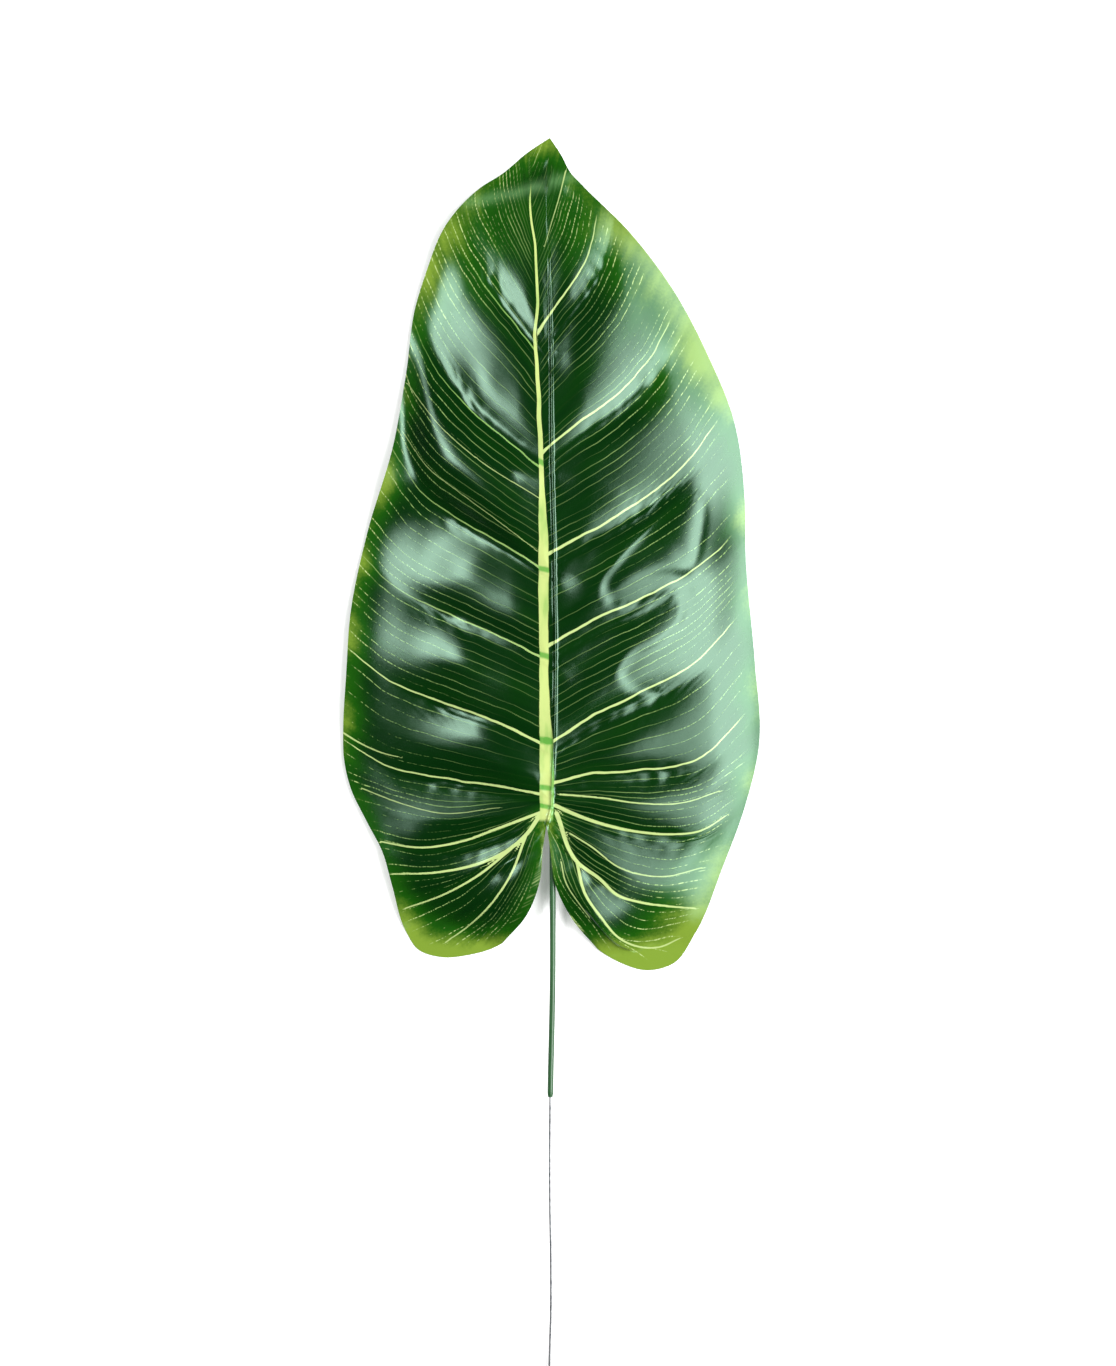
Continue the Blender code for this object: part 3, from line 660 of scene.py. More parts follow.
    def relief(self, points: Points, share: Points) -> Points:
        """The small relief of the pressing: ridges over the ribs, beads, puckers and ripples.

        Args:
            points: plan points.
            share: each point's place along its row.

        Returns:
            One height for each point.
        """
        mid = along(MIDLINE, shares_of(MIDLINE_STEPS))
        aside = np.abs(points[:, 0] - np.interp(points[:, 1], mid[:, 1], mid[:, 0]))
        rise, reach = self.main_ridge
        run = ease(*self.main_ridge_foot, points[:, 1])
        run = run * (1 - ease(*self.main_ridge_head, points[:, 1]))
        beads = grain(points * np.array(self.bead_squeeze), self.bead_pitch, BEAD_SEED)
        beads = self.bead_rise * np.maximum(beads - self.bead_sill, 0.0)
        ridge = rise * np.exp(-((aside / reach) ** 2)) * run
        ridge = ridge + beads * np.exp(-((aside / self.bead_reach) ** 2)) * run
        rise, reach = self.side_ridge
        side = np.zeros(len(points))
        near_rib = np.zeros(len(points))
        for line, length in self.ribbed:
            gaps, nearest = nearest_on(points, line, BELL * self.pucker_reach)
            past = distance_along(line)[nearest] - length
            ends = 1 - ease(*self.side_ridge_end, past)
            side = np.maximum(side, rise * ends * np.exp(-((gaps / reach) ** 2)))
            gathered = (1 - self.pucker_base) * np.exp(-((past / self.pucker_gather) ** 2))
            weight = (self.pucker_base + gathered) * (1 - ease(0.0, self.pucker_runout, past))
            near_rib = np.maximum(near_rib, weight * np.exp(-((gaps / self.pucker_reach) ** 2)))
        puckers = self.pucker_rise * near_rib * grain(points, self.pucker_pitch, PUCKER_SEED)
        ripples = self.ripple_rise * grain(points, self.ripple_pitch, RIPPLE_SEED)
        ripples = ripples * ease(0.0, self.ripple_start, share)
        ripples = ripples * (self.ripple_at_margin + (1 - self.ripple_at_margin) * (1 - share))
        return (ridge + side + puckers + ripples) * (1 - ease(*self.calm_tip, points[:, 1]))


@dataclass(frozen=True)
class Print:
    """Where the printing lies on the cloth, which slipped against the pressing."""

    slip_base: float = 2.7
    slip_growth: float = 0.01667
    slip_datum: float = -14.65
    slip_up: float = 3.6
    rib_centre: tuple[Pair, ...] = (
        (-16, -1.9), (4, -1.8), (20, -2.3), (52, -3.1), (100, -3.3), (145, -4.5),
        (172, -5.4), (197, -7), (217, -6.1), (240, -7.2), (262, -9.4), (269, -9),
    )
    rib_half_width: tuple[Pair, ...] = (
        (-16, 3.1), (4, 3.1), (19, 2.9), (37, 2.2), (60, 2), (100, 2.2), (118, 1.8),
        (136, 1.05), (146, 1.05), (199, 0.7), (240, 0.5), (262, 0.35), (269, 0.15),
    )
    rib_wander: float = 0.7
    rib_wander_pitch: float = 13.0

    def pressed_spot(self, points: Points) -> Points:
        """The spot of the pressing that matches each spot of the print."""
        slip = self.slip_base + self.slip_growth * (points[:, 1] - self.slip_datum)
        return points + np.column_stack([slip, np.full(len(points), -self.slip_up)])

    def rib_aside(self, points: Points) -> Points:
        """Where points lie from the printed rib's centre.

        Args:
            points: plan points.

        Returns:
            Distances to the right of it, in half widths of the rib.
        """
        y = points[:, 1]
        spine = np.column_stack([np.zeros(len(y)), y])
        centre = smooth(*zip(*self.rib_centre), y)[:, 0]
        centre = centre + self.rib_wander * grain(spine, self.rib_wander_pitch, RIB_SEED)
        half = smooth(*zip(*self.rib_half_width), y)[:, 0]
        return (points[:, 0] - centre) / half


@dataclass(frozen=True)
class Cloud:
    """Noise over a piece: cells to a metre, detail, and how each axis is scaled."""

    cells: float
    detail: float = 2.0
    scale: tuple[float, float, float] = (1.0, 1.0, 1.0)


@dataclass(frozen=True)
class LineCloud:
    """Noise along printed lines: how far it goes on from line to line and in a millimetre."""

    apart: float
    along: float
    layer: float = 0.0
    detail: float = 2.0


class Number:
    """A shader value, on which arithmetic adds Math nodes."""

    def __init__(self, shader: "Shader", socket: bpy.types.NodeSocket) -> None:
        """Keeps the shader it belongs to and its output socket."""
        self.shader = shader
        self.socket = socket

    def math(self, operation: str, *others: "Number | float") -> "Number":
        """One Math node.

        Args:
            operation: the node's operation.
            others: what this value is combined with.

        Returns:
            The node's result.
        """
        values = dict(enumerate((self, *others)))
        node = self.shader.add("ShaderNodeMath", {"operation": operation}, values)
        return Number(self.shader, node.outputs[0])

    def __add__(self, other: "Number | float") -> "Number":
        """Sum."""
        return self.math("ADD", other)

    __radd__ = __add__

    def __sub__(self, other: "Number | float") -> "Number":
        """Difference."""
        return self.math("SUBTRACT", other)

    def __rsub__(self, other: float) -> "Number":
        """Difference from a plain number."""
        return (self * -1.0) + other

    def __mul__(self, other: "Number | float") -> "Number":
        """Product."""
        return self.math("MULTIPLY", other)

    __rmul__ = __mul__

    def __truediv__(self, other: "Number | float") -> "Number":
        """Quotient."""
        return self.math("DIVIDE", other)

    def __abs__(self) -> "Number":
        """Size without sign."""
        return self.math("ABSOLUTE")

    def most(self, other: "Number | float") -> "Number":
        """The larger of the two."""
        return self.math("MAXIMUM", other)

    def least(self, other: "Number | float") -> "Number":
        """The smaller of the two."""
        return self.math("MINIMUM", other)

    def sine(self) -> "Number":
        """Sine of the value in radians."""
        return self.math("SINE")

    def nearest_whole(self) -> "Number":
        """The nearest whole number."""
        return self.math("ROUND")

    def off_whole(self) -> "Number":
        """Distance from the nearest whole number."""
        return abs(self - self.nearest_whole())

    def eased(self, low: "Number | float", high: "Number | float") -> "Number":
        """A smooth step of the value.

        Args:
            low: the value that gives 0, which may be the higher one.
            high: the value that gives 1.

        Returns:
            The step, from 0 to 1.
        """
        settings = {"interpolation_type": "SMOOTHSTEP"}
        values = {"Value": self, "From Min": low, "From Max": high}
        node = self.shader.add("ShaderNodeMapRange", settings, values)
        return Number(self.shader, node.outputs["Result"])


class Shader:
    """A material whose nodes are added by name."""

    def __init__(self, name: str) -> None:
        """Starts a material with one Principled surface."""
        self.material = bpy.data.materials.new(name)
        self.material.use_nodes = True
        self.nodes = self.material.node_tree.nodes
        self.surface = self.nodes["Principled BSDF"]

    def add(
        self, kind: str, settings: dict | None = None, values: dict | None = None
    ) -> bpy.types.Node:
        """One node.

        Args:
            kind: the node's type.
            settings: its own settings, set first.
            values: a number, colour, Number or socket for each input, by name or place.

        Returns:
            The node.
        """
        node = self.nodes.new(kind)
        for name, value in (settings or {}).items():
            setattr(node, name, value)
        for key, value in (values or {}).items():
            self.feed(node.inputs[key], value)
        return node

    def feed(self, socket: bpy.types.NodeSocket, value: object) -> None:
        """Links a value to an input, or sets it there.

        Args:
            socket: the input.
            value: a Number, a socket, or what the input holds.
        """
        if isinstance(value, Number):
            value = value.socket
        if isinstance(value, bpy.types.NodeSocket):
            self.material.node_tree.links.new(value, socket)
        else:
            socket.default_value = value

    def attribute(self, name: str) -> Number:
        """A value that the mesh carries."""
        return Number(self, self.add("ShaderNodeAttribute", {"attribute_name": name}).outputs["Fac"])

    def attributes(self, *names: str) -> list[Number]:
        """Several values that the mesh carries."""
        return [self.attribute(name) for name in names]

    def place(self, scale: tuple[float, float, float] = (1.0, 1.0, 1.0)) -> bpy.types.NodeSocket:
        """The spot on the piece, in scaled metres."""
        spot = self.add("ShaderNodeTexCoord").outputs["Object"]
        scaled = self.add("ShaderNodeVectorMath", {"operation": "MULTIPLY"}, {0: spot, 1: scale})
        return scaled.outputs[0]

    def cloud(self, spot: bpy.types.NodeSocket, scale: float, detail: float = 2.0) -> Number:
        """Noise between 0 and 1 with that many cells to a unit."""
        node = self.add("ShaderNodeTexNoise", None, {"Vector": spot, "Scale": scale, "Detail": detail})
        return Number(self, node.outputs[0])

    def over(self, cloud: Cloud) -> Number:
        """Noise over the piece, from 0 to 1."""
        return self.cloud(self.place(cloud.scale), cloud.cells, cloud.detail)

    def jitter(self, cloud: Cloud, size: float) -> Number:
        """Noise over the piece on both sides of 0, size wide in all."""
        return (self.over(cloud) - 0.5) * size

    def on_lines(self, cloud: LineCloud, line: Number, out: Number | float) -> Number:
        """Noise along lines, from 0 to 1.

        Args:
            cloud: the noise.
            line: the line's number.
            out: how far out on the line, in millimetres.

        Returns:
            The noise.
        """
        spot = self.vector(line * cloud.apart, out * cloud.along, cloud.layer)
        return self.cloud(spot, 1.0, cloud.detail)

    def vector(self, x: Number | float, y: Number | float, z: Number | float) -> bpy.types.NodeSocket:
        """A vector of three values."""
        return self.add("ShaderNodeCombineXYZ", None, {0: x, 1: y, 2: z}).outputs[0]

    def blend(self, factor: Number | float, first: object, second: object) -> bpy.types.NodeSocket:
        """Mix of two colours.

        Args:
            factor: 0 for the first, 1 for the second.
            first: a colour or socket.
            second: a colour or socket.

        Returns:
            The mix.
        """
        node = self.add("ShaderNodeMix", {"data_type": "RGBA"}, {0: factor})
        self.feed(node.inputs[6], first)
        self.feed(node.inputs[7], second)
        return node.outputs[2]

    def bump(self, height: Number, distance: float, strength: float) -> bpy.types.NodeSocket:
        """A surface direction tipped by a height from 0 to 1, which stands for that distance."""
        values = {"Height": height, "Distance": distance, "Strength": strength}
        return self.add("ShaderNodeBump", None, values).outputs[0]

    def finish(self, **inputs: object) -> bpy.types.Material:
        """Feeds the surface's inputs.

        Args:
            inputs: what goes into each input, named with _ for each space.

        Returns:
            The material.
        """
        for name, value in inputs.items():
            self.feed(self.surface.inputs[name.replace("_", " ")], value)
        return self.material


def rgb(red: int, green: int, blue: int) -> tuple[float, float, float, float]:
    """A colour as seen on a screen, as linear values.

    Args:
        red: from 0 to 255, as are the other two.
        green: the second part.
        blue: the third part.

    Returns:
        The three linear parts, and 1 for an opaque finish.
    """
    parts = [c / 255 for c in (red, green, blue)]
    linear = [c / 12.92 if c <= 0.04045 else ((c + 0.055) / 1.055) ** 2.4 for c in parts]
    return (*linear, 1.0)


@dataclass(frozen=True)
class Weave:
    """The cloth's plain weave, as a height that its threads make."""

    pitch: float = 0.42 * MM
    depth: float = 0.03 * MM

    def height(self, shader: Shader) -> Number:
        """Threads over and under.

        Args:
            shader: the material that gets the nodes.

        Returns:
            A height from 0 to 1.
        """
        spot = shader.add("ShaderNodeSeparateXYZ", None, {0: shader.place()})
        turns = 2 * math.pi / self.pitch
        across = (Number(shader, spot.outputs[0]) * turns).sine()
        up = (Number(shader, spot.outputs[1]) * turns).sine()
        return across * up * 0.5 + 0.5


@dataclass(frozen=True)
class PrintedCloth:
    """The blade's face: dark green cloth with printed veins and sprayed margins, coated, with a painted
    highlight along the tip crease.

    Widths and reaches are in millimetres. Most pairs are the two ends between which a step eases.
    """

    deep: tuple[float, ...] = rgb(0, 32, 1)
    leaf: tuple[float, ...] = rgb(18, 69, 2)
    lime: tuple[float, ...] = rgb(106, 132, 42)
    pale_line: tuple[float, ...] = rgb(164, 182, 116)
    green_line: tuple[float, ...] = rgb(112, 150, 76)
    fine_line: tuple[float, ...] = rgb(128, 156, 90)
    # Pale colour painted along the tip crease as a highlight, not a colour of the cloth
    crease_pale: tuple[float, ...] = rgb(120, 168, 110)
    rib_pale: tuple[float, ...] = rgb(168, 183, 110)
    rib_green: tuple[float, ...] = rgb(84, 142, 56)
    sheen_tint: tuple[float, ...] = (0.64, 1.0, 0.78, 1.0)
    least_roughness: float = 0.125
    roughness_spread: Pair = (0.04, 0.05)
    coat_streaks: Cloud = Cloud(1400.0, 1.0, (1.0, 0.35, 1.0))
    coat_patches: Cloud = Cloud(60.0)
    specular: float = 0.62
    weave_strength: float = 0.35
    weave_share: float = 0.6
    streaks: LineCloud = LineCloud(0.45, 0.012, 0.0, 3.0)
    streak_range: Pair = (0.35, 0.75)
    streak_share: float = 0.16
    speckles: Cloud = Cloud(900.0, 3.0)
    mist_range: Pair = (0.0, 0.6)
    mist_speckle: float = 0.35
    mist_streak: float = 0.12
    mist_most: float = 0.5
    dense_range: Pair = (0.45, 1.1)
    dense_speckle: float = 0.25
    dense_streak: float = 0.2
    # Noise, range and share of the painted highlight along the tip crease
    crease_wear: Cloud = Cloud(160.0, 3.0)
    crease_range: Pair = (0.1, 0.9)
    crease_share: float = 0.5
    green_to_pale: Pair = (0.45, 0.85)
    sprayed_pale: Pair = (0.1, 0.5)
    wander: float = 2.0
    wander_cloud: Cloud = Cloud(70.0)
    blur: float = 0.12
    edge_cloud: Cloud = Cloud(260.0)
    main_edge: float = 0.125
    main_half: float = 0.62
    main_thinning: float = 0.42
    main_by_strength: float = 0.9
    main_root: float = 0.3
    main_root_reach: float = 7.0
    main_least_pitch: float = 2.0
    main_wear: LineCloud = LineCloud(5.0, 0.35)
    main_wear_lift: float = 0.42
    main_wear_outward: float = 0.30
    main_wear_range: Pair = (0.36, 0.5)
    main_fade: float = 1.3
    main_fade_range: Pair = (0.3, 0.75)
    main_margin: Pair = (0.97, 0.88)
    main_room: Pair = (1.2, 2.6)
    main_seen: Pair = (0.1, 0.5)
    lone_edge: float = 0.12
    lone_rim: Pair = (1.6, 0.8)
    lone_paleness: Pair = (1.4, 0.35)
    fine_half: Pair = (0.05, 0.11)
    fine_blur: Pair = (0.14, 0.08)
    fine_room: Pair = (0.7, 1.9)
    fine_outward: Pair = (14.0, 66.0)
    fine_outward_share: float = 0.5
    fine_least_pitch: float = 1.0
    fine_kinds: LineCloud = LineCloud(3.7, 1.0, 0.0, 0.0)
    fine_kind_at: float = 0.5
    fine_kind_range: Pair = (0.3, 0.7)
    fine_kind_share: float = 0.26
    fine_margin: Pair = (0.99, 0.93)
    fine_start: Pair = (0.5, 5.0)
    fine_patches: Cloud = Cloud(55.0, 1.0)
    fine_patch_range: Pair = (0.3, 0.65)
    fine_patch_share: Pair = (0.6, 0.55)
    fine_sprayed: Pair = (0.6, 0.9)
    dashes: LineCloud = LineCloud(7.3, 0.42, 2.0, 1.0)
    dash_range: Pair = (0.26, 0.44)
    dash_by_kind: float = 0.25
    dash_by_dots: float = 0.42
    dots_outward: Pair = (0.9, 0.25)
    dots_most: float = 0.5
    dots_by_spray: float = 0.35
    stitches: LineCloud = LineCloud(5.1, 1.1, 4.0, 0.0)
    stitch_range: Pair = (0.42, 0.56)
    stitch_dots: Pair = (0.02, 0.35)
    stitch_share: float = 0.85
    rib_foot: Pair = (-17.6, -15.6)
    rib_head: Pair = (270.0, 262.0)
    rib_edge: Pair = (1.1, 0.9)
    rib_wobble: float = 0.5
    rib_wobble_cloud: Cloud = Cloud(150.0)
    rib_tints: Cloud = Cloud(220.0, 3.0, (1.0, 0.25, 1.0))
    rib_tint_range: Pair = (0.45, 0.8)
    rib_tint_share: float = 0.5
    rib_right: Pair = (0.35, 0.8)
    rib_right_run: Pair = (30.0, 10.0)
    rib_right_share: float = 0.8
    rib_slant: Pair = (3.0, 0.5)
    rib_bands: tuple[Pair, ...] = (
        (143.0, 2.2), (95.5, 1.8), (57.0, 2.0), (19.0, 2.4), (-2.0, 1.8), (-10.5, 1.6),
    )
    rib_band_core: float = 0.35
    rib_band_share: float = 0.9

    def material(self) -> bpy.types.Material:
        """Builds the finish.

        Returns:
            The material.
        """
        s = Shader("printed_cloth_face")
        strength, spray = s.attributes("strength", "spray")
        fine_line = s.blend(spray.eased(*self.sprayed_pale), self.fine_line, self.pale_line)
        main_line = s.blend(strength.eased(*self.green_to_pale), self.green_line, self.pale_line)
        colour = s.blend(self.fine_veins(s), self.ground(s), fine_line)
        colour = s.blend(self.main_veins(s), colour, main_line)
        colour = s.blend(self.lone_veins(s), colour, self.pale_line)
        colour = self.printed_rib(s, colour)
        weave = Weave()
        streaks = s.over(self.coat_streaks)
        fine_spread, broad_spread = self.roughness_spread
        rough = streaks * fine_spread + s.over(self.coat_patches) * broad_spread
        threads = weave.height(s) * self.weave_share + streaks * (1 - self.weave_share)
        return s.finish(
            Base_Color=colour,
            Roughness=rough + self.least_roughness,
            Normal=s.bump(threads, weave.depth, self.weave_strength),
            Specular_IOR_Level=self.specular,
            Specular_Tint=self.sheen_tint,
        )

    def ground(self, s: Shader) -> bpy.types.NodeSocket:
        """Dark green, lighter in streaks along the veins, lime where it is sprayed, and paler in a
        painted highlight along the tip crease.

        Args:
            s: the material that gets the nodes.

        Returns:
            The colour.
        """
        fine, out, spray, crease = s.attributes("fine", "out", "spray", "crease")
        streak = s.on_lines(self.streaks, fine, out).eased(*self.streak_range)
        speckle = s.over(self.speckles) - 0.5
        mist = spray + speckle * self.mist_speckle * spray.least(self.mist_most)
        mist = mist + (streak - 0.5) * self.mist_streak
        dense = spray + speckle * self.dense_speckle + (streak - 0.5) * self.dense_streak
        ground = s.blend(streak * self.streak_share, self.deep, self.leaf)
        ground = s.blend(mist.eased(*self.mist_range), ground, self.leaf)
        ground = s.blend(dense.eased(*self.dense_range), ground, self.lime)
        # Paler band along the tip crease: a painted highlight, made patchy by noise
        least, most = self.crease_range
        wear_and_highlight = crease * (s.over(self.crease_wear) * (most - least) + least) * self.crease_share
        return s.blend(wear_and_highlight, ground, self.crease_pale)

    def drift(self, s: Shader) -> Number:
        """How far printed lines wander off their way, in millimetres."""
        return s.jitter(self.wander_cloud, self.wander)

    def main_veins(self, s: Shader) -> Number:
        """The main veins' printed lines, which thin and fade towards the margin.

        Args:
            s: the material that gets the nodes.

        Returns:
            1 on the lines and 0 off them.
        """
        order, pitch, share = s.attributes("order", "pitch", "share")
        strength, out = s.attributes("strength", "out")
        drift = self.drift(s) / pitch.most(self.main_least_pitch)
        gap = (order + drift).off_whole() * pitch + s.jitter(self.edge_cloud, self.main_edge)
        root = out.eased(self.main_root_reach, 0.0) * self.main_root * strength
        bold = strength * self.main_by_strength + (1 - self.main_by_strength)
        half = (self.main_half - share * self.main_thinning) * bold + root
        line = gap.eased(half + self.blur, half - self.blur)
        wear_and_highlight = s.on_lines(self.main_wear, order.nearest_whole(), out) + self.main_wear_lift
        wear_and_highlight = (wear_and_highlight - share * self.main_wear_outward).eased(*self.main_wear_range)
        faint = 1.0 - share.eased(*self.main_fade_range) * (1.0 - strength) * self.main_fade
        ends = share.eased(*self.main_margin) * pitch.eased(*self.main_room)
        return line * strength.eased(*self.main_seen) * wear_and_highlight * faint * ends

    def lone_veins(self, s: Shader) -> Number:
        """The printed lines that don't follow the net.

        Args:
            s: the material that gets the nodes.

        Returns:
            1 on the lines and 0 off them.
        """
        gap, near, half = s.attributes("lone_gap", "lone_near", "lone_half")
        rough_edge = s.jitter(self.edge_cloud, self.lone_edge)
        line = (abs(gap) + rough_edge).eased(half + self.blur, half - self.blur)
        outer, inner = self.lone_rim
        by_width, least = self.lone_paleness
        pale = (half * by_width + least).least(1.0)
        return line * near.eased(half + outer, half + inner) * pale

    def fine_veins(self, s: Shader) -> Number:
        """The fine printed lines between the veins, broken into dashes further out.

        Args:
            s: the material that gets the nodes.

        Returns:
            Up to 1 on the lines and 0 off them.
        """
        pitch, share, out, spray = s.attributes("fine_pitch", "share", "out", "spray")
        fine = s.attribute("fine") + self.drift(s) / pitch.most(self.fine_least_pitch)
        number = fine.nearest_whole()
        kind = s.on_lines(self.fine_kinds, number, self.fine_kind_at).eased(*self.fine_kind_range)
        thinnest, extra = self.fine_half
        half = kind * extra + thinnest
        outer, inner = self.fine_blur
        line = (fine.off_whole() * pitch).eased(half + outer, half - inner)
        outward, start = self.dots_outward
        dots = (share * outward - start).most(0.0).least(self.dots_most)
        dots = dots + spray.least(self.dots_most) * self.dots_by_spray
        dash = s.on_lines(self.dashes, number, out) - dots * self.dash_by_dots
        kept = (dash + kind * self.dash_by_kind).eased(*self.dash_range)
        gap = 1.0 - s.on_lines(self.stitches, number, out).eased(*self.stitch_range)
        kept = kept * (1.0 - gap * dots.eased(*self.stitch_dots) * self.stitch_share)
        kept = kept * pitch.eased(*self.fine_room)
        kept = kept * share.eased(*self.fine_margin) * out.eased(*self.fine_start)
        spread, least = self.fine_patch_share
        patch = s.over(self.fine_patches).eased(*self.fine_patch_range) * spread + least
        seen = kind * self.fine_kind_share + out.eased(*self.fine_outward) * self.fine_outward_share
        most, by_spray = self.fine_sprayed
        seen = seen + spray.least(most) * by_spray
        return line * kept * (seen * patch).least(1.0)

    def printed_rib(self, s: Shader, colour: bpy.types.NodeSocket) -> bpy.types.NodeSocket:
        """The pale rib print over the rest, with its green bands and its green right edge.

        Args:
            s: the material that gets the nodes.
            colour: the colour of the rest.

        Returns:
            The colour with the rib.
        """
        aside, run = s.attributes("rib_aside", "run")
        wobble = s.jitter(self.rib_wobble_cloud, self.rib_wobble)
        mask = abs(aside + wobble * 0.5).eased(*self.rib_edge)
        mask = mask * run.eased(*self.rib_foot) * run.eased(*self.rib_head)
        tint = s.over(self.rib_tints).eased(*self.rib_tint_range) * self.rib_tint_share
        bands = (aside + wobble).eased(*self.rib_right) * run.eased(*self.rib_right_run)
        bands = bands * self.rib_right_share
        by_wobble, by_place = self.rib_slant
        level = run + wobble * by_wobble + aside * by_place
        for place, size in self.rib_bands:
            band = abs(level - place).eased(size, size * self.rib_band_core)
            bands = bands.most(band * self.rib_band_share)
        rib = s.blend((bands + tint).least(1.0), self.rib_pale, self.rib_green)
        return s.blend(mask, colour, rib)


@dataclass(frozen=True)
class ClothBack:
    """The blade's uncoated back and cut edge, where the print shows through weakly."""

    ground: tuple[float, ...] = rgb(64, 116, 58)
    thread: tuple[float, ...] = rgb(104, 150, 92)
    show_through: tuple[float, ...] = rgb(142, 176, 104)
    roughness: float = 0.62
    fuzz: float = 0.15
    vein_range: Pair = (1.2, 0.3)
    vein_share: float = 0.45
    patches: Cloud = Cloud(35.0, 3.0)
    thread_share: float = 0.35
    patch_share: float = 0.3
    patch_roughness: float = 0.1
    weave_strength: float = 0.6

    def material(self) -> bpy.types.Material:
        """Builds the finish.

        Returns:
            The material.
        """
        s = Shader("printed_cloth_back")
        weave = Weave()
        threads = weave.height(s)
        patch = s.over(self.patches)
        lit = threads * self.thread_share + patch * self.patch_share
        ground = s.blend(lit, self.ground, self.thread)
        order, pitch, strength = s.attributes("order", "pitch", "strength")
        vein = (order.off_whole() * pitch).eased(*self.vein_range) * strength * self.vein_share
        colour = s.blend(vein, ground, self.show_through)
        return s.finish(
            Base_Color=colour,
            Roughness=patch * self.patch_roughness + self.roughness,
            Normal=s.bump(threads, weave.depth * 2, self.weave_strength),
            Sheen_Weight=self.fuzz,
        )


@dataclass(frozen=True)
class MouldedPlastic:
    """Dark green polyethylene of the ribs and sleeve, with faint flow marks along it."""

    dark: tuple[float, ...] = rgb(22, 62, 30)
    light: tuple[float, ...] = rgb(48, 98, 52)
    flow_marks: Cloud = Cloud(500.0, 3.0, (1.0, 0.12, 1.0))
    flow_share: float = 0.35
    flow_depth: float = 0.06 * MM
    flow_strength: float = 0.5
    patches: Cloud = Cloud(45.0)
    patch_share: float = 0.4
    patch_roughness: float = 0.16
    least_roughness: float = 0.26
    coat: float = 0.15
    coat_roughness: float = 0.3

    def material(self) -> bpy.types.Material:
        """Builds the finish.

        Returns:
            The material.
        """
        s = Shader("moulded_plastic")
        flow = s.over(self.flow_marks)
        patch = s.over(self.patches)
        paler = flow * self.flow_share + patch * self.patch_share
        return s.finish(
            Base_Color=s.blend(paler, self.dark, self.light),
            Roughness=patch * self.patch_roughness + self.least_roughness,
            Normal=s.bump(flow, self.flow_depth, self.flow_strength),
            Coat_Weight=self.coat,
            Coat_Roughness=self.coat_roughness,
        )


@dataclass(frozen=True)
class GalvanisedSteel:
    """Zinc-coated wire: grey metal with drawing lines and dull spangle."""

    bright: tuple[float, ...] = rgb(132, 134, 136)
    dull: tuple[float, ...] = rgb(86, 88, 92)
    drawn_lines: Cloud = Cloud(2600.0, 2.0, (1.0, 0.03, 1.0))
    line_depth: float = 0.02 * MM
    line_strength: float = 0.4
    spangles: Cloud = Cloud(380.0, 3.0)
    spangle_range: Pair = (0.35, 0.7)
    spangle_roughness: float = 0.25
    least_roughness: float = 0.24

    def material(self) -> bpy.types.Material:
        """Builds the finish.

        Returns:
            The material.
        """
        s = Shader("galvanised_steel")
        lines = s.over(self.drawn_lines)
        spangle = s.over(self.spangles)
        return s.finish(
            Base_Color=s.blend(spangle.eased(*self.spangle_range), self.bright, self.dull),
            Roughness=spangle * self.spangle_roughness + self.least_roughness,
            Metallic=1.0,
            Normal=s.bump(lines, self.line_depth, self.line_strength),
        )


